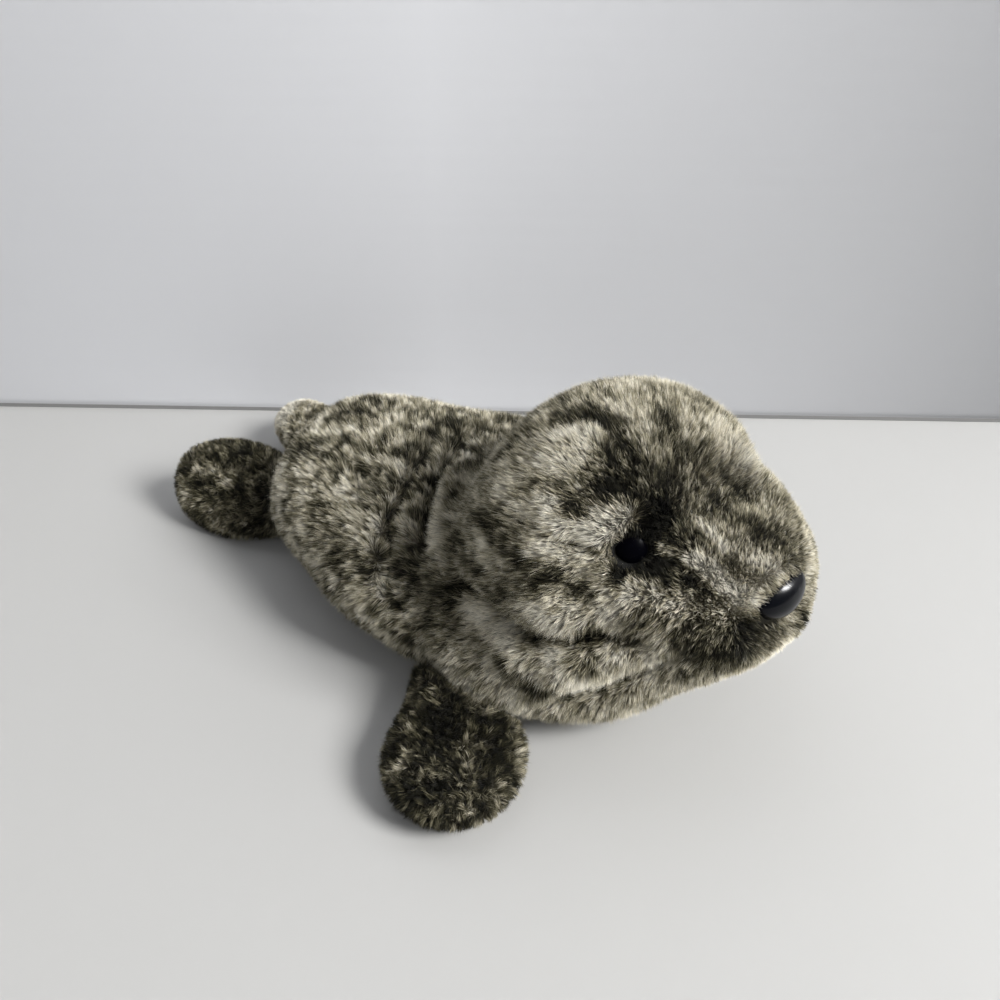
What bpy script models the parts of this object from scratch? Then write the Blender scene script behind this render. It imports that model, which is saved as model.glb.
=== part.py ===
"""Plush seal that lies on its belly with its head up and its four flippers spread.

Two long-pile covers, one for the torso and one for the head and throat, are open to each
other at the neck seam, where the fibre fillings of the two meet. The flippers are flat
sewn pads. The eyes and the nose are moulded buttons whose shanks pass through the backing
and are held inside by washers.

The neck seam stands in the plane Y = 0 while the seal is modelled: its head is in front,
towards -Y, its torso behind, and its left side is +X. The table is Z = 0. At the end the
whole seal is moved so that the middle of its footprint is at the origin. Metres.
"""
import math
from dataclasses import dataclass, replace

import bmesh
import bpy
import numpy as np
from mathutils import Matrix, Vector

# Fabric, and the gap that is left between pieces that touch
CLEARANCE = 0.0003
PILE = 0.0050
BACKING = 0.0010
SQUEEZED_BACKING = 0.0007
COVER_BLEND = 0.006

# Neck, the ring that both covers share
NECK_WIDTH = 0.122
NECK_HEIGHT = 0.059
NECK_LENGTH = 0.090
NECK_LEAN = 27.0
NECK_CREASE_DEPTH = 0.0040
NECK_CREASE_WIDTH = 0.0070
NECK_MARGIN = 0.014

# Torso
TORSO_WIDTH = 0.125
TORSO_HEIGHT = 0.059
TORSO_LENGTH = 0.104
SHOULDER_LENGTH = 0.100
SHOULDER_SET_BACK = 0.026
RUMP_LENGTH = 0.082
RUMP_WIDTH = 0.092
RUMP_HEIGHT = 0.063
BELLY_SINK = 0.003
TORSO_HEART = 0.033

# Head and throat
HEAD_WIDTH = 0.108
HEAD_HEIGHT = 0.103
HEAD_LENGTH = 0.088
HEAD_LIFT = 0.014
HEAD_TURN = 12.5
HEAD_PIVOT = 0.018
CHEEK_RADIUS = 0.033
CHEEK_SPREAD = 0.022
CHEEK_FORWARD = 0.0546
CHEEK_MIDDLE = 0.0378
MUZZLE_WIDTH = 0.054
MUZZLE_HEIGHT = 0.040
MUZZLE_LENGTH = 0.052
MUZZLE_REACH = 0.0995
MUZZLE_MIDDLE = 0.058
WHISKER_PAD_WIDTH = 0.047
WHISKER_PAD_HEIGHT = 0.046
WHISKER_PAD_LENGTH = 0.054
WHISKER_PAD_SPREAD = 0.015
WHISKER_PAD_REACH = 0.1075
WHISKER_PAD_MIDDLE = 0.0515
THROAT_WIDTH = 0.136
THROAT_HEIGHT = 0.044
THROAT_LENGTH = 0.110
THROAT_REACH = 0.080
HEAD_HEART_FORWARD = 0.037
HEAD_HEART_HEIGHT = 0.041

# Front flippers
FLIPPER_BLEND = 0.003
FRONT_FLIPPER_LENGTH = 0.054
FRONT_FLIPPER_WIDTH = 0.048
FRONT_FLIPPER_THICKNESS = 0.021
FRONT_FLIPPER_SWEEP = 25.0
FRONT_FLIPPER_SPAN = 0.110
FRONT_FLIPPER_SET_BACK = -0.042
ARM_SET_BACK = 0.0567
ARM_WIDTH = 0.0404
ARM_THICKNESS = 0.0242
ARM_HEIGHT = 0.0116

# Rear flippers
REAR_FLIPPER_LENGTH = 0.060
REAR_FLIPPER_WIDTH = 0.042
REAR_FLIPPER_THICKNESS = 0.021
REAR_FLIPPER_REACH = 0.155
REAR_FLIPPER_OFFSET = 0.019
LEFT_REAR_SPREAD = 34.0
LEFT_REAR_ROLL = 15.0
RIGHT_REAR_SPREAD = 6.0
RIGHT_REAR_ROLL = 46.0
LEG_LENGTH = 0.048
LEG_WIDTH = 0.0315
LEG_THICKNESS = 0.0242
LEG_OFFSET = 0.0152
LEG_SET_BACK = 0.057
LEG_LIFT = 0.0015

# Eyes and nose
EYE_DIAMETER = 0.011
EYE_DEPTH = 0.0042
EYE_SINK = 0.0050
EYE_TURN = 48.0
EYE_LIFT = 23.0
NOSE_WIDTH = 0.024
NOSE_HEIGHT = 0.014
NOSE_DEPTH = 0.0065
NOSE_LIFT = 3.0
NOSE_TAPER = 0.22
NOSE_SINK = 0.003
BUTTON_RIM = 0.0006
SHANK_DIAMETER = 0.0036
SHANK_TIP = 0.0020
WASHER_DIAMETER = 0.013
WASHER_THICKNESS = 0.0012
SOCKET_FLARE = 0.0015

# Folds: runs of (turn, lift) directions in degrees from the middle of the form. Turn is
# measured from straight ahead towards either side, and each fold is on both sides.
CHEEK_FOLD = ((120.0, 5.0), (107.0, -4.0), (91.0, 0.0), (72.0, 4.0), (61.0, 4.0))
CHEEK_FOLD_DEPTH = 0.0030
CHEEK_FOLD_WIDTH = 0.0050
CHIN_FOLD = ((59.0, -12.0), (53.0, -8.0), (44.0, -2.0), (35.0, 1.0))
CHIN_FOLD_DEPTH = 0.0025
CHIN_FOLD_WIDTH = 0.0045
EYE_CORNER = ((38.0, 40.0), (52.0, 33.0), (61.0, 25.0))
EYE_CORNER_DEPTH = 0.0020
EYE_CORNER_WIDTH = 0.0060
SHOULDER_FOLD = ((64.0, 50.0), (72.0, 33.0), (72.0, 23.0), (72.0, 14.0), (69.0, 5.0))
SHOULDER_FOLD_DEPTH = 0.0030
SHOULDER_FOLD_WIDTH = 0.0050

# Facets: cuts along each side of the cube that a soft form is wrapped from
TORSO_CUTS = 11
HEAD_CUTS = 15
INNER_CUTS = 6
FLIPPER_CUTS = 5
TURNED_SEGMENTS = 16
DOME_STEPS = 5
SHARP_ANGLE = 50.0
MERGE_DISTANCE = 0.00008
SEARCH_STEPS = 97
SEARCH_HALVINGS = 30
NORMAL_STEP = 0.002

# Folds swell at this share of their depth, at this many widths beside their middle
SWELL_SHARE = 0.25
SWELL_PLACE = 2.0

# Colours and roughness
FUR_COLOUR = (0.30, 0.27, 0.20)
FLIPPER_COLOUR = (0.12, 0.115, 0.09)
FIBRE_COLOUR = (0.85, 0.85, 0.83)
BUTTON_COLOUR = (0.012, 0.012, 0.014)
WASHER_COLOUR = (0.80, 0.80, 0.78)
FUR_ROUGHNESS = 0.95
FIBRE_ROUGHNESS = 1.0
BUTTON_ROUGHNESS = 0.15
WASHER_ROUGHNESS = 0.5


@dataclass(frozen=True)
class Lobe:
    """One rounded mass of a soft form: an ellipsoid, rolled and turned about the vertical."""

    centre: tuple
    radii: tuple
    turn: float = 0.0
    roll: float = 0.0

    def axes(self):
        """Gives the lobe's own axes as the rows of an array."""
        turn = Matrix.Rotation(math.radians(self.turn), 3, "Z")
        roll = Matrix.Rotation(math.radians(self.roll), 3, "Y")
        return np.array((turn @ roll).transposed())


@dataclass(frozen=True)
class Fold:
    """A crease pressed along a path, with the filling swelling a little beside it."""

    path: tuple
    width: float
    depth: float

    def level(self, points):
        """Gives how far the crease draws the surface in near each point."""
        away = distance_to_path(points, self.path) / self.width
        swell = SWELL_SHARE * np.exp(-(away - SWELL_PLACE) ** 2)
        return self.depth * (np.exp(-away ** 2) - swell)


@dataclass(frozen=True)
class Seam:
    """A flat seam that draws a crease all round a form."""

    point: tuple
    normal: tuple
    width: float
    depth: float

    def level(self, points):
        """Gives how far the seam draws the surface in near each point."""
        away = (points - np.array(self.point)) @ np.array(self.normal) / self.width
        return self.depth * np.exp(-away ** 2)


@dataclass(frozen=True)
class SoftForm:
    """Lobes that run into each other, as a stuffed cover does over its filling.

    The centre is where the form is wrapped from, and stretch shares the wrap's facets out
    over its sides. A cap, a point and an outward normal, ends the form in a plane.
    """

    lobes: tuple
    blend: float
    centre: tuple
    stretch: tuple
    creases: tuple = ()
    cap: tuple = ()

    def level(self, points):
        """Gives about how far each point lies outside the form, negative inside it."""
        levels = []
        for lobe in self.lobes:
            radii = np.array(lobe.radii)
            local = (points - np.array(lobe.centre)) @ lobe.axes().T
            share = np.linalg.norm(local / radii, axis=1)
            slope = np.linalg.norm(local / radii ** 2, axis=1)
            levels.append(share * (share - 1.0) / np.maximum(slope, 1e-9))
        levels = np.stack(levels)
        nearest = levels.min(axis=0)
        spill = np.exp((nearest - levels) / self.blend).sum(axis=0)
        merged = nearest - self.blend * np.log(spill)
        for crease in self.creases:
            merged = merged + crease.level(points)
        if self.cap:
            point, normal = self.cap
            merged = np.maximum(merged, (points - np.array(point)) @ np.array(normal))
        return merged

    def reach(self, start, directions, inset):
        """Gives how far the form, drawn in by the inset, reaches along each direction."""
        steps = np.linspace(0.0, 1.5 * max(self.stretch), SEARCH_STEPS)
        points = start + directions[:, None, :] * steps[None, :, None]
        inside = self.level(points.reshape(-1, 3)).reshape(points.shape[:2]) < -inset
        last = len(steps) - 1 - np.argmax(inside[:, ::-1], axis=1)
        near, far = steps[last], steps[last + 1]
        for _ in range(SEARCH_HALVINGS):
            middle = (near + far) / 2.0
            within = self.level(start + directions * middle[:, None]) < -inset
            near = np.where(within, middle, near)
            far = np.where(within, far, middle)
        return near

    def wrap(self, cuts, inset=0.0):
        """Wraps an even grid round the form; forms of equal cuts nest facet by facet."""
        mesh = bmesh.new()
        bmesh.ops.create_cube(mesh, size=2.0)
        bmesh.ops.subdivide_edges(mesh, edges=mesh.edges[:], cuts=cuts, use_grid_fill=True)
        grid = np.array([vert.co[:] for vert in mesh.verts])
        directions = np.tan(grid * math.pi / 4.0) * np.array(self.stretch)
        directions /= np.linalg.norm(directions, axis=1)[:, None]
        centre = np.array(self.centre)
        for depth in (0.0, inset):
            places = centre + directions * self.reach(centre, directions, depth)[:, None]
            for vert, place in zip(mesh.verts, places):
                vert.co = place
            bmesh.ops.triangulate(mesh, faces=mesh.faces[:], quad_method="SHORT_EDGE")
        return mesh

    def seat(self, start, direction, inset):
        """Finds where a line from a point leaves the drawn-in form, and the normal there."""
        start = np.array(start)
        direction = np.array(direction) / np.linalg.norm(direction)
        place = start + direction * self.reach(start, direction[None], inset)[0]
        step = NORMAL_STEP * np.eye(3)
        normal = self.level(place + step) - self.level(place - step)
        return Vector(place), Vector(normal).normalized()


def distance_to_path(points, path):
    """Gives each point's distance to a path of straight runs."""
    best = np.full(len(points), np.inf)
    for start, end in zip(path[:-1], path[1:]):
        start = np.array(start)
        run = np.array(end) - start
        along = np.clip((points - start) @ run / (run @ run), 0.0, 1.0)
        away = np.linalg.norm(points - start - along[:, None] * run, axis=1)
        best = np.minimum(best, away)
    return best


def trim(mesh, point, outward):
    """Cuts off what lies beyond a plane and closes the cut with one flat face."""
    everything = mesh.verts[:] + mesh.edges[:] + mesh.faces[:]
    bmesh.ops.bisect_plane(
        mesh, geom=everything, plane_co=point, plane_no=outward, clear_outer=True
    )
    bmesh.ops.remove_doubles(mesh, verts=mesh.verts[:], dist=MERGE_DISTANCE)
    rim = [edge for edge in mesh.edges if edge.is_boundary]
    bmesh.ops.holes_fill(mesh, edges=rim, sides=0)
    return mesh


def turned(profile):
    """Turns a profile of (radius, height) points about Z into a closed round piece."""
    mesh = bmesh.new()
    verts = [mesh.verts.new((radius, 0.0, height)) for radius, height in profile]
    edges = [mesh.edges.new(pair) for pair in zip(verts[:-1], verts[1:])]
    bmesh.ops.spin(
        mesh, geom=verts + edges, cent=(0, 0, 0), axis=(0, 0, 1), angle=math.tau,
        steps=TURNED_SEGMENTS, use_merge=True, use_duplicate=False,
    )
    bmesh.ops.remove_doubles(mesh, verts=mesh.verts[:], dist=1e-6)
    bmesh.ops.recalc_face_normals(mesh, faces=mesh.faces[:])
    return mesh


def ring(outer, inner, top, thickness):
    """Turns a flat washer."""
    bottom = top - thickness
    return turned([
        (inner, top), (outer, top), (outer, bottom), (inner, bottom), (inner, top),
    ])


def finish(name, colour, roughness):
    """Makes one piece's own material."""
    material = bpy.data.materials.new(name)
    material.use_nodes = True
    shader = material.node_tree.nodes["Principled BSDF"]
    shader.inputs["Base Color"].default_value = (*colour, 1.0)
    shader.inputs["Roughness"].default_value = roughness
    shader.inputs["Metallic"].default_value = 0.0
    material.diffuse_color = (*colour, 1.0)
    return material


def place(name, mesh, root, matrix=None):
    """Makes an object from a bmesh, parents it to the root and stands it in its place."""
    data = bpy.data.meshes.new(name)
    mesh.to_mesh(data)
    mesh.free()
    data.shade_smooth()
    data.set_sharp_from_angle(angle=math.radians(SHARP_ANGLE))
    piece = bpy.data.objects.new(name, data)
    bpy.context.scene.collection.objects.link(piece)
    piece.parent = root
    piece.matrix_world = matrix or Matrix.Identity(4)
    return piece


def guide(name, mesh, root, matrix=None):
    """Makes a cutter, which isn't a piece of the seal."""
    cutter = place(name, mesh, root, matrix)
    cutter.hide_render = True
    cutter.display_type = "WIRE"
    return cutter


def combine(piece, other, operation):
    """Joins a guide to a piece, or cuts it out of the piece."""
    modifier = piece.modifiers.new(f"{operation.lower()} {other.name}", "BOOLEAN")
    modifier.operation = operation
    modifier.solver = "EXACT"
    modifier.object = other


def mirrored(point):
    """Gives the same place on the other side of the seal."""
    return (-point[0], point[1], point[2])


def on_head(point):
    """Turns a place on the straight head to where the turned head has it."""
    turned_point = Matrix.Rotation(math.radians(-HEAD_TURN), 3, "Z") @ Vector(
        (point[0], point[1] + HEAD_PIVOT, point[2])
    )
    return (turned_point.x, turned_point.y - HEAD_PIVOT, turned_point.z)


def neck_seam():
    """Gives a point of the seam's plane and the plane's normal, towards the torso."""
    lean = math.radians(NECK_LEAN)
    middle = Vector((0.0, 0.0, NECK_HEIGHT / 2.0 - BELLY_SINK))
    return middle, Vector((0.0, math.cos(lean), -math.sin(lean)))


def collar_lobe():
    """The mass that fills the neck on both sides of its seam."""
    half_height = NECK_HEIGHT / 2.0
    return Lobe(
        (0.0, 0.0, half_height - BELLY_SINK),
        (NECK_WIDTH / 2.0, NECK_LENGTH / 2.0, half_height),
    )


def neck_lobes():
    """Collar, shoulders and throat: the masses that lie on both sides of the neck seam."""
    shoulder_height = TORSO_HEIGHT / 2.0
    shoulders = Lobe(
        (0.0, SHOULDER_SET_BACK, shoulder_height - BELLY_SINK),
        (TORSO_WIDTH / 2.0, SHOULDER_LENGTH / 2.0, shoulder_height),
    )
    throat = Lobe(
        (0.0, THROAT_LENGTH / 2.0 - THROAT_REACH, THROAT_HEIGHT / 2.0 - BELLY_SINK),
        (THROAT_WIDTH / 2.0, THROAT_LENGTH / 2.0, THROAT_HEIGHT / 2.0),
    )
    return collar_lobe(), shoulders, throat


def head_lobes():
    """Gives the named masses of the head, in their places on the turned head."""
    skull_half = (HEAD_HEIGHT - HEAD_LIFT) / 2.0
    skull = (0.0, -HEAD_LENGTH / 2.0, HEAD_HEIGHT - skull_half)
    cheek = (CHEEK_SPREAD, -CHEEK_FORWARD, CHEEK_MIDDLE)
    muzzle = (0.0, MUZZLE_LENGTH / 2.0 - MUZZLE_REACH, MUZZLE_MIDDLE)
    muzzle_radii = (MUZZLE_WIDTH / 2.0, MUZZLE_LENGTH / 2.0, MUZZLE_HEIGHT / 2.0)
    pad = (
        WHISKER_PAD_SPREAD, WHISKER_PAD_LENGTH / 2.0 - WHISKER_PAD_REACH, WHISKER_PAD_MIDDLE
    )
    pad_radii = (WHISKER_PAD_WIDTH / 2.0, WHISKER_PAD_LENGTH / 2.0, WHISKER_PAD_HEIGHT / 2.0)
    return {
        "skull": Lobe(
            on_head(skull), (HEAD_WIDTH / 2.0, HEAD_LENGTH / 2.0, skull_half), -HEAD_TURN
        ),
        "left cheek": Lobe(on_head(cheek), (CHEEK_RADIUS,) * 3),
        "right cheek": Lobe(on_head(mirrored(cheek)), (CHEEK_RADIUS,) * 3),
        "muzzle": Lobe(on_head(muzzle), muzzle_radii, -HEAD_TURN),
        "left whisker pad": Lobe(on_head(pad), pad_radii, -HEAD_TURN),
        "right whisker pad": Lobe(on_head(mirrored(pad)), pad_radii, -HEAD_TURN),
    }


def neck_crease():
    """The crease that the neck seam draws round both covers."""
    point, normal = neck_seam()
    return Seam(tuple(point), tuple(normal), NECK_CREASE_WIDTH, NECK_CREASE_DEPTH)


def laid(form, folds, heading=0.0):
    """Lays runs of (turn, lift) directions on both sides of a form as its folds."""
    creases = []
    for directions, width, depth in folds:
        for side in (1.0, -1.0):
            path = []
            for turn, lift in directions:
                aim = aimed(side * turn - heading, lift)
                path.append(tuple(form.seat(form.centre, aim, 0.0)[0]))
            creases.append(Fold(tuple(path), width, depth))
    return creases


def cover_forms():
    """Gives the torso and the head: one shape, wrapped from two middles.

    Each ends a margin beyond the neck seam, where it is trimmed later on.
    """
    rump = Lobe(
        (0.0, TORSO_LENGTH - RUMP_LENGTH / 2.0, RUMP_HEIGHT / 2.0 - BELLY_SINK),
        (RUMP_WIDTH / 2.0, RUMP_LENGTH / 2.0, RUMP_HEIGHT / 2.0),
    )
    lobes = (*neck_lobes(), rump, *head_lobes().values())
    seam, backward = neck_seam()
    margin = backward * NECK_MARGIN
    torso = SoftForm(
        lobes, COVER_BLEND, (0.0, TORSO_HEART, TORSO_HEIGHT / 2.0),
        (TORSO_WIDTH, TORSO_LENGTH, TORSO_HEIGHT), (), (seam - margin, -backward),
    )
    head = SoftForm(
        lobes, COVER_BLEND, (0.0, -HEAD_HEART_FORWARD, HEAD_HEART_HEIGHT),
        (HEAD_WIDTH, HEAD_LENGTH, HEAD_HEIGHT), (), (seam + margin, backward),
    )
    head_folds = (
        (CHEEK_FOLD, CHEEK_FOLD_WIDTH, CHEEK_FOLD_DEPTH),
        (CHIN_FOLD, CHIN_FOLD_WIDTH, CHIN_FOLD_DEPTH),
        (EYE_CORNER, EYE_CORNER_WIDTH, EYE_CORNER_DEPTH),
    )
    torso_folds = ((SHOULDER_FOLD, SHOULDER_FOLD_WIDTH, SHOULDER_FOLD_DEPTH),)
    creases = (neck_crease(), *laid(head, head_folds, HEAD_TURN), *laid(torso, torso_folds))
    return replace(torso, creases=creases), replace(head, creases=creases)


def aimed(turn, lift):
    """Gives the direction turned from straight ahead to the left, and lifted, in degrees."""
    turn, lift = math.radians(turn), math.radians(lift)
    return (
        math.sin(turn) * math.cos(lift), -math.cos(turn) * math.cos(lift), math.sin(lift)
    )


def front_flipper_form(side):
    """A pad that lies on the table beside the throat; side is +1 left, -1 right."""
    sweep = math.radians(FRONT_FLIPPER_SWEEP)
    half = FRONT_FLIPPER_LENGTH / 2.0
    along = (side * math.cos(sweep), -math.sin(sweep))
    tip = (side * FRONT_FLIPPER_SPAN, FRONT_FLIPPER_SET_BACK)
    height = FRONT_FLIPPER_THICKNESS / 2.0
    middle = (tip[0] - along[0] * half, tip[1] - along[1] * half, height - BELLY_SINK / 2.0)
    wrist = (tip[0] - along[0] * ARM_SET_BACK, tip[1] - along[1] * ARM_SET_BACK, ARM_HEIGHT)
    turn = -side * FRONT_FLIPPER_SWEEP
    pad = Lobe(middle, (half, FRONT_FLIPPER_WIDTH / 2.0, height), turn)
    arm = Lobe(wrist, (half, ARM_WIDTH / 2.0, ARM_THICKNESS / 2.0), turn)
    return SoftForm(
        (pad, arm), FLIPPER_BLEND, middle,
        (FRONT_FLIPPER_LENGTH, FRONT_FLIPPER_WIDTH, ARM_THICKNESS),
    )


def rear_flipper_form(side):
    """A pad that trails from the rump, its inner edge raised; side is +1 left, -1 right."""
    spread_angle = LEFT_REAR_SPREAD if side > 0 else RIGHT_REAR_SPREAD
    roll_angle = LEFT_REAR_ROLL if side > 0 else RIGHT_REAR_ROLL
    spread = math.radians(spread_angle)
    roll = math.radians(roll_angle)
    half = REAR_FLIPPER_LENGTH / 2.0
    half_width = REAR_FLIPPER_WIDTH / 2.0
    half_height = REAR_FLIPPER_THICKNESS / 2.0
    rise = math.hypot(half_width * math.sin(roll), half_height * math.cos(roll))
    middle = (
        side * (REAR_FLIPPER_OFFSET + half * math.sin(spread)),
        REAR_FLIPPER_REACH - half,
        rise - BELLY_SINK / 2.0,
    )
    ankle = (side * LEG_OFFSET, REAR_FLIPPER_REACH - LEG_SET_BACK, middle[2] + LEG_LIFT)
    turn = -side * spread_angle
    lean = side * roll_angle
    pad = Lobe(middle, (half_width, half, half_height), turn, lean)
    leg = Lobe(ankle, (LEG_WIDTH / 2.0, LEG_LENGTH / 2.0, LEG_THICKNESS / 2.0), turn, lean)
    return SoftForm(
        (pad, leg), FLIPPER_BLEND, middle,
        (REAR_FLIPPER_WIDTH, REAR_FLIPPER_LENGTH, REAR_FLIPPER_WIDTH),
    )


def button_frame(form, start, direction, sink):
    """Gives the frame of a button: its origin on its seat, its Z pointing outward."""
    point, normal = form.seat(start, direction, sink)
    side = Vector((0, 0, 1)).cross(normal).normalized()
    up = normal.cross(side)
    turn = Matrix((side, up, normal)).transposed().to_4x4()
    return Matrix.Translation(point) @ turn


@dataclass(frozen=True)
class Button:
    """A domed button on a shank, and the washer that holds it through the backing.

    The seat is at height 0, and sink is how deep in the pile it lies. A height share of
    less than 1 draws the round dome out into a wide one, and taper narrows its foot.
    """

    width: float
    depth: float
    sink: float
    height_share: float = 1.0
    taper: float = 0.0

    @property
    def washer_top(self):
        """Height of the washer's face, below the fabric that it squeezes."""
        return self.sink - PILE - SQUEEZED_BACKING - CLEARANCE

    @property
    def tip(self):
        """Height of the shank's end."""
        return self.washer_top - WASHER_THICKNESS - CLEARANCE - SHANK_TIP

    def shaped(self, mesh):
        """Draws what stands over the seat, the shank aside, out into the dome's outline."""
        for vert in mesh.verts:
            wide = math.hypot(vert.co.x, vert.co.y) > SHANK_DIAMETER / 2.0 + 2.0 * CLEARANCE
            if wide and vert.co.z > -CLEARANCE / 2.0:
                vert.co.x *= 1.0 + self.taper * 2.0 * vert.co.y / self.width
                vert.co.y *= self.height_share
        return mesh

    def solid(self):
        """Turns the dome and its shank."""
        shank = SHANK_DIAMETER / 2.0
        rim = CLEARANCE + BUTTON_RIM
        profile = [(0.0, CLEARANCE + self.depth)]
        for step in range(1, DOME_STEPS + 1):
            angle = math.pi / 2.0 * step / DOME_STEPS
            rise = (self.depth - BUTTON_RIM) * math.cos(angle)
            profile.append((self.width / 2.0 * math.sin(angle), rim + rise))
        profile += [
            (self.width / 2.0, CLEARANCE), (shank, CLEARANCE),
            (shank, self.tip + shank / 2.0), (shank / 2.0, self.tip), (0.0, self.tip),
        ]
        return self.shaped(turned(profile))

    def room(self):
        """Turns the cutter for the seat in the pile, the shank's hole and the washer."""
        hole = SHANK_DIAMETER / 2.0 + CLEARANCE
        seat = self.width / 2.0 + CLEARANCE / self.height_share
        mouth = self.sink + SOCKET_FLARE
        pocket = WASHER_DIAMETER / 2.0 + CLEARANCE
        shelf = self.washer_top - WASHER_THICKNESS - CLEARANCE
        bottom = self.tip - CLEARANCE
        return self.shaped(turned([
            (0.0, mouth), (seat + SOCKET_FLARE, mouth), (seat, 0.0), (hole, 0.0),
            (hole, self.washer_top + CLEARANCE), (pocket, self.washer_top + CLEARANCE),
            (pocket, shelf), (hole, shelf), (hole, bottom), (0.0, bottom),
        ]))

    def washer(self):
        """Turns the washer that holds the shank."""
        return ring(
            WASHER_DIAMETER / 2.0, SHANK_DIAMETER / 2.0 + CLEARANCE,
            self.washer_top, WASHER_THICKNESS,
        )


def add_covers(root, torso, head):
    """Makes the two covers, hollow and open to each other at the neck."""
    wall = PILE + BACKING
    table = Vector((0, 0, 0))
    down = Vector((0, 0, -1))
    covers = {}
    seam, backward = neck_seam()
    for name, form, cuts, side in (
        ("torso_cover", torso, TORSO_CUTS, 1.0),
        ("head_cover", head, HEAD_CUTS, -1.0),
    ):
        edge = seam + backward * side * CLEARANCE / 2.0
        outside = trim(form.wrap(cuts), edge, -side * backward)
        cover = place(name, trim(outside, table, down), root)
        hollow = trim(form.wrap(INNER_CUTS, wall), (0, 0, wall), down)
        combine(cover, guide(f"{name}_hollow", hollow, root), "DIFFERENCE")
        covers[name] = cover
    return covers


def add_fillings(root, torso, head):
    """Makes the fibre fillings of the torso and the head, which meet at the neck."""
    inset = PILE + BACKING + CLEARANCE
    seam, backward = neck_seam()
    fillings = {}
    for name, form, side in (("torso_filling", torso, 1.0), ("head_filling", head, -1.0)):
        edge = seam + backward * side * CLEARANCE / 2.0
        mass = trim(form.wrap(INNER_CUTS, inset), edge, -side * backward)
        fillings[name] = place(name, trim(mass, (0, 0, inset), (0, 0, -1)), root)
    return fillings


def add_button(root, cover, filling, names, frame, button):
    """Makes a button, its washer and the room for both in the cover and the filling."""
    name, washer_name = names
    piece = place(name, button.solid(), root, frame)
    washer = place(washer_name, button.washer(), root, frame)
    room = guide(f"{name}_room", button.room(), root, frame)
    combine(cover, room, "DIFFERENCE")
    combine(filling, room, "DIFFERENCE")
    return piece, washer


def main():
    """Builds the seal and moves it onto its origin."""
    for old in list(bpy.data.objects):
        bpy.data.objects.remove(old)
    root = bpy.data.objects.new("seal_root", None)
    bpy.context.scene.collection.objects.link(root)
    fur = finish("fur", FUR_COLOUR, FUR_ROUGHNESS)
    dark_fur = finish("dark_fur", FLIPPER_COLOUR, FUR_ROUGHNESS)
    fibre = finish("fibre", FIBRE_COLOUR, FIBRE_ROUGHNESS)
    black = finish("black_plastic", BUTTON_COLOUR, BUTTON_ROUGHNESS)
    white = finish("washer_plastic", WASHER_COLOUR, WASHER_ROUGHNESS)

    torso, head = cover_forms()
    covers = add_covers(root, torso, head)
    fillings = add_fillings(root, torso, head)
    filling = fillings["head_filling"]
    pieces = [(cover, fur) for cover in covers.values()]
    pieces += [(mass, fibre) for mass in fillings.values()]

    carriers = [
        guide("torso_seat", torso.wrap(TORSO_CUTS, -CLEARANCE), root),
        guide("head_seat", head.wrap(HEAD_CUTS, -CLEARANCE), root),
    ]
    for side, word in ((1.0, "left"), (-1.0, "right")):
        for row, form in (("front", front_flipper_form(side)), ("rear", rear_flipper_form(side))):
            pad = trim(form.wrap(FLIPPER_CUTS), (0, 0, 0), (0, 0, -1))
            flipper = place(f"{row}_flipper_{word}", pad, root)
            for carrier in carriers if row == "front" else carriers[:1]:
                combine(flipper, carrier, "DIFFERENCE")
            pieces.append((flipper, dark_fur))

    masses = head_lobes()
    eye = Button(EYE_DIAMETER, EYE_DEPTH, EYE_SINK)
    for side, word in ((1.0, "left"), (-1.0, "right")):
        aim = aimed(side * EYE_TURN - HEAD_TURN, EYE_LIFT)
        frame = button_frame(head, masses["skull"].centre, aim, EYE_SINK)
        names = (f"eye_{word}", f"eye_washer_{word}")
        dome, washer = add_button(root, covers["head_cover"], filling, names, frame, eye)
        pieces += [(dome, black), (washer, white)]

    nose = Button(NOSE_WIDTH, NOSE_DEPTH, NOSE_SINK, NOSE_HEIGHT / NOSE_WIDTH, NOSE_TAPER)
    aim = aimed(-HEAD_TURN, NOSE_LIFT)
    frame = button_frame(head, masses["muzzle"].centre, aim, NOSE_SINK)
    names = ("nose", "nose_washer")
    dome, washer = add_button(root, covers["head_cover"], filling, names, frame, nose)
    pieces += [(dome, black), (washer, white)]

    for piece, material in pieces:
        own = material.copy()
        own.name = piece.name
        piece.data.materials.append(own)
    settle(root, [piece for piece, _ in pieces])


def settle(root, pieces):
    """Moves the seal so that the middle of its footprint is at the origin."""
    bpy.context.view_layer.update()
    graph = bpy.context.evaluated_depsgraph_get()
    corners = []
    for piece in pieces:
        solid = piece.evaluated_get(graph)
        corners += [solid.matrix_world @ Vector(corner) for corner in solid.bound_box]
    low = [min(corner[axis] for corner in corners) for axis in range(3)]
    high = [max(corner[axis] for corner in corners) for axis in range(3)]
    root.location = (-(low[0] + high[0]) / 2.0, -(low[1] + high[1]) / 2.0, -low[2])
    bpy.context.view_layer.update()


main()
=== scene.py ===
"""Dresses the plush seal: padded skins, filling, pile, buttons, washers, floor, wall and light.

Everything is in metres in the seal's own frame: its nose points towards -Y, its left side is
+X and the table is Z = 0. Only the marks and the reliefs are in tenths of a millimetre.
"""
import logging
import math
from dataclasses import dataclass, field
from enum import Enum

import bmesh
import bpy
import numpy as np
from mathutils import Matrix, Vector


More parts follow.
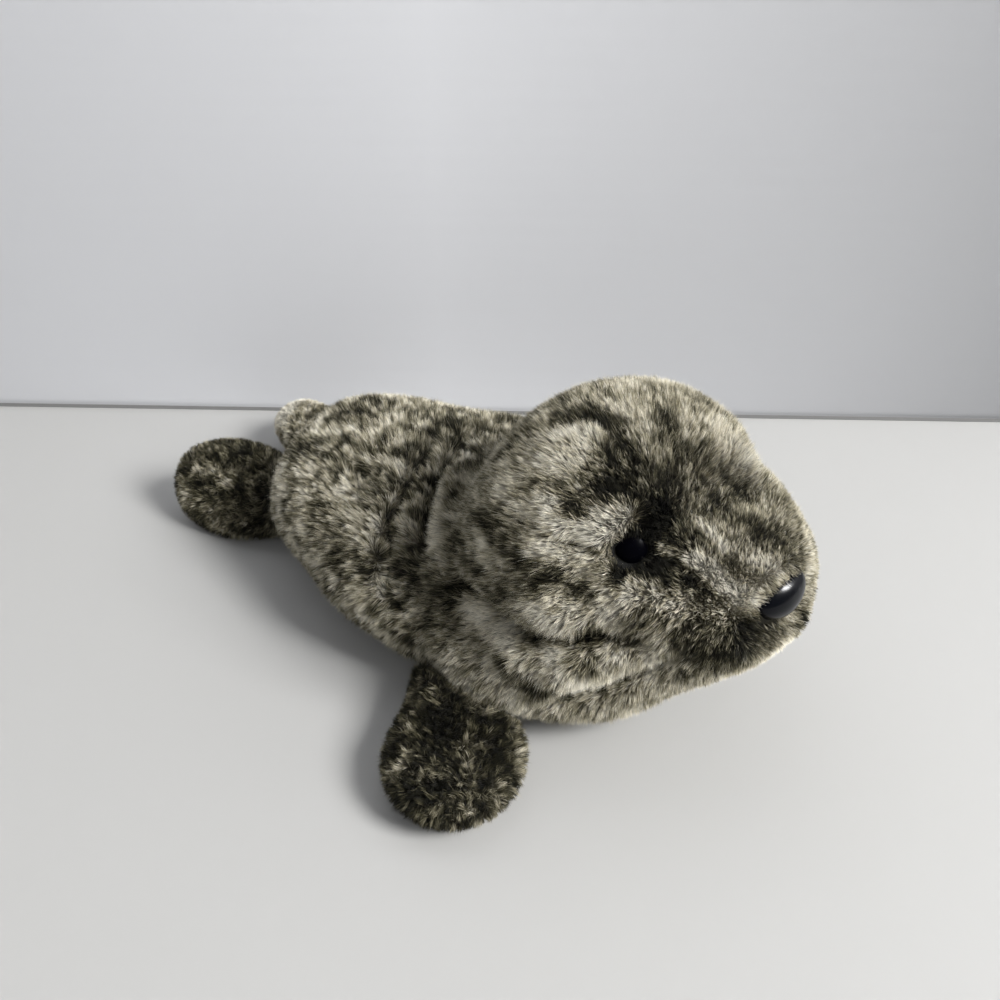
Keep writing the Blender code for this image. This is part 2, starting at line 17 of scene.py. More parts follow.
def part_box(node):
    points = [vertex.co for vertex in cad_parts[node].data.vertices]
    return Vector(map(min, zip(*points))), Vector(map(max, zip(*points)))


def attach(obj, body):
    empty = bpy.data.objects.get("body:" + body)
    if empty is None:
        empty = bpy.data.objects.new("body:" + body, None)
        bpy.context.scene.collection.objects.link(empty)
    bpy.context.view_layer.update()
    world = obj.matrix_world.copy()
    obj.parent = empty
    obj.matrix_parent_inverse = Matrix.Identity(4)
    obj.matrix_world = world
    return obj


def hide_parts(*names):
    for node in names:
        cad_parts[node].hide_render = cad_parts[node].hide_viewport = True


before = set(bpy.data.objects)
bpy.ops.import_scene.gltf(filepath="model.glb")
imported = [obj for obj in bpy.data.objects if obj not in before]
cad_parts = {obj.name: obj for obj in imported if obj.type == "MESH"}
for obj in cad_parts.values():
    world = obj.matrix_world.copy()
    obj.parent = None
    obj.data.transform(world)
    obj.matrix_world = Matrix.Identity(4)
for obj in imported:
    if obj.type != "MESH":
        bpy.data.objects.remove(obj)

Array = np.ndarray
Point = tuple[float, float, float]
Stops = list[tuple[float, tuple[float, ...]]]
Socket = bpy.types.NodeSocket
log = logging.getLogger("seal")

UP = np.array([0.0, 0.0, 1.0])
PILE_UV = "OFBake"
TONE = "tone"
CLOTH = "cloth"
NOSE_BRIDGE = "nose bridge"
TENTHS = 10000
MERGE = 1e-6
NOSE_SIZE = (0.024, 0.014)
EYE_SIZE = (0.011, 0.011)


def unit(vectors: Array) -> Array:
    """Scales vectors to a length of one.

    Args:
        vectors: One vector or one per row.

    Returns:
        The same directions, one long.
    """
    lengths = np.linalg.norm(vectors, axis=-1, keepdims=True)
    return vectors / np.maximum(lengths, 1e-12)


def along_surface(vectors: Array, normals: Array) -> Array:
    """Lays vectors flat on a surface.

    Args:
        vectors: The vectors.
        normals: The surface's normals, one for each vector.

    Returns:
        The vectors without their part along the normals.
    """
    return vectors - normals * np.sum(vectors * normals, axis=1, keepdims=True)


def turned_about(vectors: Array, axes: Array, angles: Array) -> Array:
    """Turns vectors that stand square to their axes.

    Args:
        vectors: The vectors.
        axes: One axis for each vector, one long.
        angles: One angle for each vector, in radians.

    Returns:
        The turned vectors.
    """
    return vectors * np.cos(angles)[:, None] + np.cross(axes, vectors) * np.sin(angles)[:, None]


def eased(values: Array, low: float, high: float) -> Array:
    """Eases values from 0 at the low limit to 1 at the high one.

    Args:
        values: The values.
        low: Where the result leaves 0.
        high: Where the result reaches 1.

    Returns:
        The eased values.
    """
    share = np.clip((values - low) / (high - low), 0.0, 1.0)
    return share * share * (3.0 - 2.0 * share)


@dataclass(frozen=True)
class Change:
    """A value that changes softly while a measure goes from its low to its high limit."""

    start: float
    rise: float
    low: float
    high: float

    def at(self, measures: Array) -> Array:
        """Gives the value at each measure."""
        return self.start + self.rise * eased(measures, self.low, self.high)


@dataclass(frozen=True)
class SoftNoise:
    """Random values that change softly through space, the same at each run."""

    seed: int
    cells: int = 24

    def at(self, points: Array, size: float) -> Array:
        """Reads the noise.

        Args:
            points: Places, one per row.
            size: Distance over which the noise changes.

        Returns:
            Values from -1 to 1.
        """
        table = np.random.default_rng(self.seed).uniform(-1.0, 1.0, (self.cells,) * 3)
        grid = points / size
        base = np.floor(grid).astype(int)
        part = grid - base
        part = part * part * (3.0 - 2.0 * part)
        total = np.zeros(len(points))
        for corner in np.ndindex(2, 2, 2):
            cell = (base + np.array(corner)) % self.cells
            weight = np.prod(np.where(np.array(corner) == 1, part, 1.0 - part), axis=1)
            total += weight * table[cell[:, 0], cell[:, 1], cell[:, 2]]
        return total


@dataclass(frozen=True)
class Cells:
    """Irregular cells that fill space, for what comes in tufts."""

    seed: int
    cells: int = 61

    def at(self, points: Array, size: float) -> Array:
        """Finds the cell of each point.

        Args:
            points: Places, one per row.
            size: How far apart the cells' middles are.

        Returns:
            The cells' numbers.
        """
        middles = np.random.default_rng(self.seed).random((self.cells,) * 3 + (3,))
        grid = points / size
        base = np.floor(grid).astype(int)
        best = np.full(len(points), np.inf)
        found = np.zeros((len(points), 3), int)
        for step in np.ndindex(3, 3, 3):
            whole = base + np.array(step) - 1
            cell = whole % self.cells
            middle = whole + middles[cell[:, 0], cell[:, 1], cell[:, 2]]
            away = np.sum((grid - middle) ** 2, axis=1)
            nearer = away < best
            best[nearer] = away[nearer]
            found[nearer] = whole[nearer]
        found -= found.min(axis=0)
        spans = found.max(axis=0) + 1
        numbers = (found[:, 0] * spans[1] + found[:, 1]) * spans[2] + found[:, 2]
        return np.unique(numbers, return_inverse=True)[1]


class Region(Enum):
    """The stretches of the coat that are cut and coloured in their own way."""

    HEAD = "head"
    TORSO = "torso"
    FRONT_LEFT = "front_flipper_left"
    FRONT_RIGHT = "front_flipper_right"
    REAR_LEFT = "rear_flipper_left"
    REAR_RIGHT = "rear_flipper_right"


@dataclass(frozen=True)
class Cut:
    """How tall, thick, dense and unruly the pile of one region is, and how pale."""

    height: float
    lift: float
    wildness: float
    tuft: float
    gather: float
    tone: float
    broad: float
    middling: float
    fine: float
    speckle: float = 0.17
    # Painted highlight: stray fibres are paled at least this far towards cream, for a pale lit halo
    # at the outline and pale glints in dark pile.
    stray_highlight: float = 0.5
    density: float = 11.0e6
    girth: float = 0.00024


BODY_REGIONS = (Region.HEAD, Region.TORSO)
FRONT_REGIONS = (Region.FRONT_LEFT, Region.FRONT_RIGHT)
FLIPPER_CUT = Cut(
    height=0.0021, lift=0.95, wildness=2.40, tuft=0.0013, gather=0.30, tone=0.12,
    broad=0.10, middling=0.26, fine=0.34, speckle=0.10, stray_highlight=0.20,
)
CUTS: dict[Region, Cut] = {
    Region.HEAD: Cut(
        height=0.0036, lift=1.10, wildness=0.60, tuft=0.0012, gather=0.34, tone=0.47,
        broad=0.14, middling=0.28, fine=0.34,
    ),
    Region.TORSO: Cut(
        height=0.0038, lift=1.18, wildness=0.80, tuft=0.0015, gather=0.40, tone=0.38,
        broad=0.10, middling=0.28, fine=0.55,
    ),
    Region.FRONT_LEFT: FLIPPER_CUT,
    Region.FRONT_RIGHT: FLIPPER_CUT,
    Region.REAR_LEFT: Cut(
        height=0.0021, lift=1.00, wildness=2.40, tuft=0.0013, gather=0.30, tone=0.38,
        broad=0.08, middling=0.20, fine=0.30, speckle=0.10, stray_highlight=0.35,
    ),
    Region.REAR_RIGHT: Cut(
        height=0.0021, lift=1.00, wildness=2.00, tuft=0.0013, gather=0.30, tone=0.25,
        broad=0.12, middling=0.26, fine=0.28, speckle=0.10, stray_highlight=0.30,
    ),
}


def distance_to(points: Array, path: Array) -> Array:
    """Measures how far points are from a path of straight lines.

    Args:
        points: Places, one per row.
        path: The path's corners, one per row; a single one stands for itself.

    Returns:
        One distance for each point.
    """
    best = np.linalg.norm(points - path[0], axis=1)
    for start, end in zip(path, path[1:]):
        run = end - start
        share = np.clip((points - start) @ run / (run @ run), 0.0, 1.0)
        away = np.linalg.norm(points - start - share[:, None] * run, axis=1)
        best = np.minimum(best, away)
    return best


@dataclass(frozen=True)
class Spot:
    """A soft spot or stripe of the seal; its size and path are in tenths of a millimetre."""

    name: str
    size: int
    amount: float
    path: tuple[tuple[int, int, int], ...]

    def nearness(self, points: Array) -> Array:
        """Gives how near each point is: 1 on the path, towards 0 far from it."""
        away = distance_to(points, np.array(self.path) / TENTHS)
        return np.exp(-(away / (self.size / TENTHS)) ** 2)


@dataclass(frozen=True)
class Mark(Spot):
    """A pale or dark marking of the coat, some of them painted shade along creases; an amount above
    0 is paler.
    """

    def at(self, points: Array) -> Array:
        """Gives what the mark adds to the tone of each point."""
        return self.amount * self.nearness(points)


@dataclass(frozen=True)
class Relief(Spot):
    """A fold or a swelling of the padded skin; a fold's amount, in tenths too, is below 0."""

    @property
    def height(self) -> float:
        """Gives the relief's height in metres."""
        return self.amount / TENTHS

    def at(self, points: Array) -> Array:
        """Gives how far the relief moves each point outward, in metres."""
        return self.height * self.nearness(points)


MARKS: tuple[Mark, ...] = (
    Mark("crown, right", 42, 0.6, ((-297, -561, 977), (-261, -654, 996))),
    Mark("crown, right, low", 50, 0.36, ((-347, -406, 892), (-382, -600, 939))),
    Mark("crown, right, below", 30, 0.33, ((-325, -640, 970), (-329, -704, 960))),
    Mark("crown, middle", 65, 0.2, ((86, -739, 1005), (-1, -890, 958))),
    Mark("crown, left", 60, 0.22, ((113, -894, 938), (23, -987, 888))),
    Mark("upper brow", 28, 0.65, ((-470, -619, 872), (-506, -663, 833))),
    Mark("brow", 36, 0.75, ((-475, -765, 829), (-411, -809, 866))),
    Mark("brow's tail", 24, 0.33, ((-514, -688, 820), (-487, -733, 834))),
    Mark("under the eye", 36, 0.39, ((-553, -653, 770), (-493, -795, 764))),
    Mark("cheek's foot", 38, 0.6, ((-628, -675, 593), (-620, -757, 569))),
    Mark("cheek's foot, front", 34, 0.36, ((-585, -754, 637), (-582, -811, 627))),
    Mark("cheek, front", 34, 0.49, ((-562, -864, 637), (-511, -909, 702))),
    Mark("stripe, top", 18, 0.5, ((-396, -961, 790), (-376, -1023, 778))),
    Mark("stripe", 22, 1.1, ((-377, -1030, 774), (-358, -1105, 736))),
    Mark("stripe, end", 34, 1.2, ((-362, -1134, 711), (-337, -1191, 663))),
    Mark("second stripe", 22, 0.62, ((-270, -1015, 830), (-286, -1089, 777))),
    Mark("nose's side", 28, 0.42, ((-234, -1167, 731), (-215, -1208, 691))),
    Mark("muzzle's side", 40, 0.3, ((-489, -979, 696), (-463, -1060, 678))),
    Mark("chest, back", 42, 0.55, ((-568, -404, 422), (-611, -557, 430))),
    Mark("chest, low", 34, 0.36, ((-615, -573, 425), (-653, -660, 367))),
    Mark("throat", 44, 0.65, ((-626, -733, 433), (-619, -821, 358))),
    Mark("throat, front", 30, 0.36, ((-613, -871, 446), (-590, -915, 483))),
    Mark("chin fringe", 30, 0.33, ((-647, -713, 234), (-578, -875, 326))),
    Mark("chin fringe, front", 34, 0.49, ((-566, -895, 343), (-508, -1087, 464))),
    Mark("jaw's edge", 28, 0.59, ((-300, -1240, 458), (-104, -1271, 419))),
    Mark("muzzle's edge", 20, 0.39, ((58, -1232, 677), (-62, -1292, 589))),
    Mark("head's back", 22, 0.29, ((-325, -296, 794), (-451, -428, 825))),
    Mark("neck ridge, top", 28, 0.39, ((22, -1, 568), (-201, -47, 546))),
    Mark("neck ridge, low", 26, 0.36, ((-253, -70, 542), (-427, -162, 519))),
    Mark("rump's rim", 30, 0.59, ((-277, 659, 462), (-441, 546, 332))),
    Mark("rump's rim, top", 26, 0.45, ((420, 1244, 184), (182, 1118, 170))),
    Mark("rump, upper", 26, 0.36, ((-147, 489, 584), (-96, 437, 601))),
    Mark("rump, spot", 30, 0.29, ((-372, 344, 502), (-384, 242, 504))),
    Mark("back, spot", 26, 0.36, ((-198, 227, 576), (-173, 137, 585))),
    Mark("back, top", 30, 0.29, ((134, 503, 584), (408, 261, 488))),
    Mark("flank, front", 22, 0.36, ((-426, 92, 509), (-370, 39, 513))),
    Mark("flank, low", 36, 0.29, ((-542, 318, 307), (-642, 30, 281))),
    Mark("flank, lower", 30, 0.18, ((-649, -16, 253), (-627, -178, 165))),
    Mark("forehead", 48, -0.5, ((-346, -911, 844), (-110, -816, 991))),
    Mark("forehead, top", 40, -0.28, ((-62, -807, 999), (-24, -702, 1024))),
    Mark("forehead, right", 50, -0.42, ((-377, -796, 906), (-363, -882, 843))),
    Mark("forehead, side", 40, -0.4, ((-180, -611, 1017), (-244, -750, 984))),
    Mark("crown's edge", 30, -0.35, ((-201, -508, 995), (-155, -592, 1020))),
    Mark("temple", 42, -0.38, ((-364, -685, 945), (-371, -773, 919))),
    Mark("temple, back", 34, -0.38, ((-421, -520, 898), (-439, -630, 899))),
    Mark("head's back, top", 30, -0.3, ((-321, -286, 781), (-302, -357, 877))),
    Mark("head's back, high", 34, -0.32, ((-335, -231, 652), (-514, -424, 736))),
    Mark("head's back, middle", 32, -0.32, ((-494, -419, 763), (-548, -515, 750))),
    Mark("head's back, low", 34, -0.32, ((-419, -238, 565), (-560, -408, 570))),
    # Painted shade: a dark line along the eye fold.
    Mark("eye line", 18, -0.35, ((-531, -685, 797), (-481, -794, 784))),
    Mark("cheek, dark", 34, -0.35, ((-574, -546, 713), (-595, -653, 677))),
    Mark("cheek, dark, front", 30, -0.22, ((-565, -701, 704), (-548, -790, 683))),
    Mark("below the eye", 30, -0.42, ((-434, -889, 727), (-459, -986, 729))),
    # Painted shade: these three darken the pile at the corners of the right eye's hollow.
    Mark("eye's outer corner", 20, -0.8, ((-456, -820, 735), (-511, -871, 715))),
    Mark("eye's inner corner", 30, -0.9, ((-384, -890, 795), (-433, -952, 768))),
    Mark("eye's inner corner, low", 26, -1.0, ((-469, -934, 742), (-407, -976, 778))),
    Mark("above the eye", 26, -0.6, ((-400, -846, 810), (-369, -879, 839))),
    Mark("jaw", 52, -0.42, ((-508, -1072, 590), (-434, -1186, 542))),
    Mark("jaw, front", 44, -0.42, ((-395, -1198, 601), (-249, -1246, 541))),
    Mark("stripe's shadow", 28, -0.35, ((-428, -1039, 730), (-399, -1127, 691))),
    Mark("bridge", 48, -0.3, ((-141, -1111, 794), (-120, -1186, 737))),
    Mark("bridge, right", 22, -0.25, ((-313, -1036, 802), (-309, -1113, 752))),
    Mark("chest, dark", 34, -0.35, ((-628, -637, 426), (-639, -714, 400))),
    Mark("throat, dark", 28, -0.4, ((-609, -811, 555), (-609, -868, 473))),
    # Painted shade: these two darken the pile along the throat's fold.
    Mark("throat's fold", 16, -0.4, ((-650, -677, 189), (-578, -864, 302))),
    Mark("chin's fold", 14, -0.35, ((-578, -864, 302), (-516, -1019, 426))),
    Mark("chest, low, dark", 34, -0.3, ((-645, -567, 361), (-653, -698, 267))),
    Mark("rump, top, dark", 26, -0.32, ((529, 1168, 154), (-13, 545, 588))),
    Mark("rump, back, dark", 24, -0.38, ((-193, 611, 533), (-237, 541, 543))),
    Mark("back, dark", 24, -0.26, ((-12, 525, 594), (11, 415, 607))),
    Mark("back, front, dark", 34, -0.25, ((137, 194, 587), (98, 49, 582))),
    Mark("flank, dark", 34, -0.15, ((-235, 154, 570), (-259, 50, 544))),
    Mark("flank, front, dark", 44, -0.28, ((-483, -176, 478), (-575, -323, 389))),
    Mark("neck, dark", 36, -0.22, ((-473, -126, 449), (-571, -142, 353))),
    Mark("tuft at the eye", 14, 0.9, ((-395, -929, 797),)),
    Mark("far rear flipper, edge", 90, 0.55, ((308, 1269, 150), (435, 1246, 182))),
    # Painted shade: a dark line along the mouth's crease.
    Mark("mouth crease", 10, -0.5, ((-536, -1034, 488), (-490, -1130, 500))),
    Mark("muzzle's notch", 12, -0.7, ((-109, -1293, 496), (-91, -1286, 454))),
    Mark("left eye's side", 60, 0.16, ((105, -965, 892), (58, -1024, 856))),
    Mark("between the brows", 26, -0.45, ((-459, -681, 878), (-463, -729, 864))),
    Mark("brow's top", 34, -0.4, ((-254, -670, 997), (-394, -753, 911))),
    Mark("flipper, upper", 75, -0.1, ((-793, -342, 191), (-827, -591, 190))),
    Mark("flipper, right edge", 30, 0.35, ((-706, -631, 164), (-799, -723, 131))),
    Mark("flipper, lower edge", 34, 0.35, ((-1103, -562, 123), (-953, -741, 79))),
    Mark("flipper, spots", 22, 0.35, ((-977, -519, 183), (-975, -567, 181))),
    Mark("flipper, spots, left", 22, 0.35, ((-1036, -385, 135), (-1058, -428, 141))),
    Mark("rear flipper, pale", 44, 0.32, ((-272, 1155, 248), (-266, 1014, 255))),
    Mark("rear flipper, low, pale", 36, 0.22, ((-358, 1182, 135), (-370, 1072, 122))),
    Mark("muzzle, top", 80, -0.12, ((88, -1153, 744), (-31, -1231, 697))),
)

RELIEFS: tuple[Relief, ...] = (
    Relief("torso wrinkle", 30, -50, (
        (-2, 143, 594), (-189, 95, 574), (-308, 66, 541), (-402, 41, 505), (-489, -4, 460),
        (-558, -44, 403),
    )),
    Relief("dimple", 24, -42, ((-251, 334, 564), (-280, 256, 551), (-230, 249, 568))),
    Relief("lower dimple", 30, -40, ((-471, 67, 488), (-455, -5, 473))),
    Relief("neck fold", 32, -42, (
        (195, 76, 568), (-16, 31, 578), (-174, 6, 554), (-304, -41, 519), (-432, -106, 478),
    )),
    Relief("cheek fold", 34, -52, (
        (-543, -320, 474), (-586, -446, 481), (-607, -546, 467), (-618, -656, 465),
        (-620, -760, 499), (-596, -852, 558), (-558, -964, 545),
    )),
    Relief("eye fold", 24, -28, ((-455, -808, 762), (-506, -749, 793), (-532, -679, 796))),
    Relief("throat fold", 24, -42, (
        (-648, -662, 169), (-623, -759, 248), (-578, -864, 302), (-530, -975, 385),
        (-508, -1096, 489),
    )),
    Relief("throat's side fold", 26, -30, (
        (-615, -802, 540), (-613, -836, 496), (-611, -869, 460),
    )),
    Relief("crown fold", 24, -28, (
        (-247, -523, 988), (-196, -580, 1012), (-228, -670, 1004), (-263, -724, 985),
    )),
    Relief("back fold", 30, -34, ((142, 189, 586), (84, 57, 586), (54, -33, 562))),
    Relief("stop", 60, -40, ((-45, -1004, 878), (-6, -1049, 843), (5, -1087, 813))),
    Relief("brow", 50, 50, ((-470, -779, 821), (-439, -793, 849), (-404, -825, 860))),
    Relief("upper brow", 60, 24, ((-479, -630, 863), (-501, -667, 838))),
    Relief("crown", 80, 24, ((-321, -575, 970), (-288, -642, 985))),
    Relief("under the eye", 70, 20, ((-556, -695, 742), (-520, -772, 736))),
    Relief("cheek", 110, 30, ((-604, -693, 634), (-598, -743, 622))),
    Relief("cheek, front", 70, 18, ((-537, -886, 674),)),
    Relief("muzzle pad", 100, 24, ((-491, -1007, 674),)),
    Relief("nose bridge", 42, 36, ((-231, -1201, 696), (-133, -1230, 685))),
    Relief("neck ridge", 45, 25, ((-100, -22, 564), (-343, -124, 534))),
    Relief("chest", 70, 22, ((-585, -474, 427), (-630, -597, 398))),
    Relief("throat pad", 80, 28, ((-634, -769, 402),)),
    Relief("jaw", 110, 50, ((-369, -1225, 555), (-147, -1278, 477))),
    Relief("throat", 120, -14, ((-628, -754, 275), (-556, -914, 371), (-503, -1102, 475))),
    Relief("rump", 120, 22, ((368, 1195, 203), (99, 654, 537), (98, 514, 589))),
    Relief("eye's left rim", 45, 30, ((-491, -787, 774), (-510, -819, 727))),
    Relief("eye's lower rim", 50, 20, ((-528, -868, 696), (-507, -926, 699))),
    Relief("far rear flipper", 120, 30, ((342, 1287, 149), (435, 1246, 182))),
    Relief("stop, middle", 65, -30, ((-246, -990, 855), (-130, -1041, 844), (-38, -1079, 821))),
    Relief("mouth crease", 14, -22, ((-538, -1024, 480), (-518, -1085, 516), (-487, -1135, 496))),
    Relief("eye's inner corner", 26, -34, ((-390, -897, 759), (-417, -962, 776))),
    Relief("rear flipper, top", 110, 32, ((-218, 1249, 262), (-147, 1097, 315), (-107, 964, 313))),
    Relief("rear flipper, end", 90, 16, ((-306, 1246, 195), (-358, 1195, 130))),
    Relief("left brow", 60, 22, ((120, -960, 890), (78, -998, 873))),
)


def middle_of(node: str) -> Array:
    """Gives the middle of a CAD node's corners.

    Args:
        node: The node's name.

    Returns:
        The middle.
    """
    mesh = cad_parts[node].data
    places = np.zeros(len(mesh.vertices) * 3)
    mesh.vertices.foreach_get("co", places)
    return places.reshape(-1, 3).mean(axis=0)


@dataclass(frozen=True)
class Seat:
    """Where a button sits: its middle and its own axes, sideways, upward and outward."""

    middle: Array
    side: Array
    up: Array
    out: Array
    half_width: float
    half_height: float

    @classmethod
    def of(cls, button: str, washer: str, width: float, height: float) -> "Seat":
        """Finds the seat of a button from its own node and its washer's.

        Args:
            button: The button's CAD node.
            washer: The washer's CAD node.
            width: The dome's width.
            height: The dome's height.

        Returns:
            The seat.
        """
        out = unit(middle_of(button) - middle_of(washer))
        side = unit(np.cross(UP, out))
        return cls(middle_of(button), side, np.cross(out, side), out, width / 2, height / 2)

    def share(self, points: Array) -> Array:
        """Gives how far out each point lies.

        Args:
            points: Places, one per row.

        Returns:
            Shares: 1 on the dome's outline, above 1 beyond it.
        """
        away = points - self.middle
        across = (away @ self.side) / self.half_width
        upward = (away @ self.up) / self.half_height
        return np.hypot(across, upward)


@dataclass(frozen=True)
class Face:
    """The places on the head that the pile turns round."""

    nose: Seat = field(default_factory=lambda: Seat.of("nose", "nose_washer", *NOSE_SIZE))
    right_eye: Seat = field(
        default_factory=lambda: Seat.of("eye_right", "eye_washer_right", *EYE_SIZE)
    )
    left_eye: Seat = field(
        default_factory=lambda: Seat.of("eye_left", "eye_washer_left", *EYE_SIZE)
    )

    def eyes(self) -> tuple[Seat, Seat]:
        """Gives both eyes."""
        return self.right_eye, self.left_eye


@dataclass(frozen=True)
class Nap:
    """The way the pile lies all over the seal."""

    face: Face
    swirl: SoftNoise = SoftNoise(11)
    swirl_size: float = 0.013
    ruffle: SoftNoise = SoftNoise(12)
    ruffle_size: float = 0.005
    ruffle_share: float = 0.7
    head_pull: Point = (0.0, 0.35, -0.15)
    throat_drop: Change = Change(0.0, 0.9, -0.07, -0.03)
    eye_reach: float = 0.016
    eye_push: Change = Change(0.5, -1.1, -0.2, 0.8)
    nose_top: Change = Change(0.0, 1.0, 0.3, 0.9)
    nose_rim: Change = Change(1.0, -1.0, 1.1, 1.7)
    nose_lean: float = 2.6
    torso_pull: Point = (0.0, 1.0, -0.25)
    side_drop: Change = Change(0.0, 0.8, 0.02, 0.05)
    joint_gap: float = 0.01
    flipper_pull: Point = (0.0, 0.0, -0.1)

    def head(self, points: Array) -> Array:
        """Gives the pull on the head's pile: back from the nose, round the eyes, down the throat.

        Args:
            points: Places on the skin.

        Returns:
            One pull for each place; above the nose it leans over the nose's rim.
        """
        pull = unit(points - self.face.nose.middle) + np.array(self.head_pull)
        pull[:, 2] -= self.throat_drop.at(-points[:, 2])
        for eye in self.face.eyes():
            away = points - eye.middle
            near = np.exp(-(np.linalg.norm(away, axis=1) / self.eye_reach) ** 2)
            push = self.eye_push.at(away @ eye.up / eye.half_height)
            pull += push[:, None] * near[:, None] * unit(away)
        nose = self.face.nose
        away = points - nose.middle
        near = self.nose_top.at(away @ nose.up / nose.half_height)
        near = near * self.nose_rim.at(nose.share(points))
        return pull - self.nose_lean * near[:, None] * unit(away)

    def torso(self, points: Array) -> Array:
        """Gives the pull on the torso's pile: backward, and down on its sides.

        Args:
            points: Places on the skin.

        Returns:
            One pull for each place.
        """
        pull = np.tile(np.array(self.torso_pull), (len(points), 1))
        pull[:, 2] -= self.side_drop.at(np.abs(points[:, 0]))
        return pull

    def flipper(self, points: Array, region: Region) -> Array:
        """Gives the pull on a flipper's pile: away from where it joins the body.

        Args:
            points: Places on the skin.
            region: The flipper.

        Returns:
            One pull for each place.
        """
        low, high = (np.array(corner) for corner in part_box(region.value))
        joint = (low + high) / 2.0
        if region in FRONT_REGIONS:
            joint[0] = low[0] if low[0] > 0 else high[0]
            joint[1] = high[1]
        else:
            joint[1] = low[1] - self.joint_gap
        joint[2] = high[2]
        return unit(points - joint) + np.array(self.flipper_pull)

    def lay(self, points: Array, normals: Array, region: Region, wildness: float) -> Array:
        """Gives the direction in which the pile lies on the surface.

        Args:
            points: Places on the skin.
            normals: The skin's normals there.
            region: The stretch of the coat.
            wildness: How far the pile strays from its nap, in radians.

        Returns:
            Directions along the surface, one long.
        """
        if region is Region.HEAD:
            pull = self.head(points)
        elif region is Region.TORSO:
            pull = self.torso(points)
        else:
            pull = self.flipper(points, region)
        lay = unit(along_surface(pull, normals))
        ruffle = self.ruffle_share * self.ruffle.at(points, self.ruffle_size)
        stray = self.swirl.at(points, self.swirl_size) + ruffle
        return turned_about(lay, normals, wildness * stray)


@dataclass(frozen=True)
class Coat:
    """How pale the pile is all over the seal, from 0, dark olive, to 1, cream, with painted shade
    in folds and round the right eye.
    """

    face: Face
    broad: SoftNoise = SoftNoise(21)
    broad_size: float = 0.016
    middling: SoftNoise = SoftNoise(22)
    middling_size: float = 0.0060
    fine: SoftNoise = SoftNoise(23)
    fine_size: float = 0.0026
    # Painted shade: how much darker the pile is painted where it lies in a fold.
    fold_shade: float = 80.0
    fold_limit: float = -0.002
    contrast: float = 1.06
    relief_near_nose: Change = Change(0.0, 1.0, 1.1, 2.2)
    height_near_nose: Change = Change(0.55, 0.45, 0.014, 0.060)
    height_near_eye: Change = Change(0.65, 0.35, 1.1, 1.8)
    height_in_folds: Change = Change(1.0, -0.45, 0.0, 0.004)
    flecks_near_nose: Change = Change(0.45, 0.55, 0.016, 0.045)
    # Painted shade: the pile is darkened right round the right eye, into its hollow.
    eye_ring: Change = Change(1.0, -1.0, 1.0, 1.2)
    eye_hollow_painted_shade: float = 0.7

    def folds(self, points: Array) -> Array:
        """Gives how deep each point lies in a fold.

        Args:
            points: Places on the skin.

        Returns:
            Depths: 0 on open skin, below 0 in a fold.
        """
        depth = np.zeros(len(points))
        for relief in RELIEFS:
            if relief.height < self.fold_limit:
                depth += relief.at(points) ** 2 / relief.height
        return depth

    def relief(self, points: Array) -> Array:
        """Gives how far folds and swellings move the skin outward.

        Args:
            points: Places on the skin.

        Returns:
            Distances; only the nose's bridge moves the skin right beside the nose.
        """
        moved = sum(relief.at(points) for relief in RELIEFS if relief.name != NOSE_BRIDGE)
        moved = moved * self.relief_near_nose.at(self.face.nose.share(points))
        return moved + next(r for r in RELIEFS if r.name == NOSE_BRIDGE).at(points)

    def height(self, points: Array, region: Region) -> Array:
        """Gives how far the pile stands off the skin: less near the nose, the eye and in folds.

        Args:
            points: Places on the skin.
            region: The stretch of the coat.

        Returns:
            Heights, in metres.
        """
        height = np.full(len(points), CUTS[region].height)
        if region is Region.HEAD:
            away = np.linalg.norm(points - self.face.nose.middle, axis=1)
            height *= self.height_near_nose.at(away)
            height *= self.height_near_eye.at(self.face.right_eye.share(points))
        return height * self.height_in_folds.at(-self.folds(points))

    def tone(self, points: Array, region: Region) -> Array:
        """Reads the tone of the coat, with painted shade in its folds and round the right eye's
        hollow.

        Args:
            points: Places on the skin.
            region: The stretch of the coat.

        Returns:
            Tones, about 0 to 1.
        """
        cut = CUTS[region]
        tone = cut.broad * self.broad.at(points, self.broad_size)
        tone += cut.middling * self.middling.at(points, self.middling_size)
        tone += cut.fine * self.fine.at(points, self.fine_size)
        if region is Region.HEAD:
            away = np.linalg.norm(points - self.face.nose.middle, axis=1)
            tone *= self.flecks_near_nose.at(away)
        tone += cut.tone
        for mark in MARKS:
            tone += mark.at(points)
        # Painted shade: the pile is darkened in the folds and creases.
        tone += self.fold_shade * self.folds(points)
        # Painted shade: the pile darkens round the right eye's hollow.
        tone -= self.eye_hollow_painted_shade * self.eye_ring.at(self.face.right_eye.share(points))
        return cut.tone + self.contrast * (tone - cut.tone)


def fill(tree: bpy.types.NodeTree, node: bpy.types.Node, inputs: dict) -> None:
    """Fills a node's inputs.

    Args:
        tree: The node's tree.
        node: The node.
        inputs: A value, or the output to link, by each input's name or number.
    """
    for key, value in inputs.items():
        if isinstance(value, bpy.types.NodeSocket):
            tree.links.new(value, node.inputs[key])
        else:
            node.inputs[key].default_value = value


def fitted(
    tree: bpy.types.NodeTree, kind: str, inputs: dict | None = None, **settings: object
) -> bpy.types.Node:
    """Adds a node to a tree, sets it up and fills its inputs.

    Args:
        tree: The tree.
        kind: The node's type.
        inputs: A value, or the output to link, by each input's name or number.
        settings: The node's own settings.

    Returns:
        The node.
    """
    node = tree.nodes.new(kind)
    for key, value in settings.items():
        setattr(node, key, value)
    fill(tree, node, inputs or {})
    return node


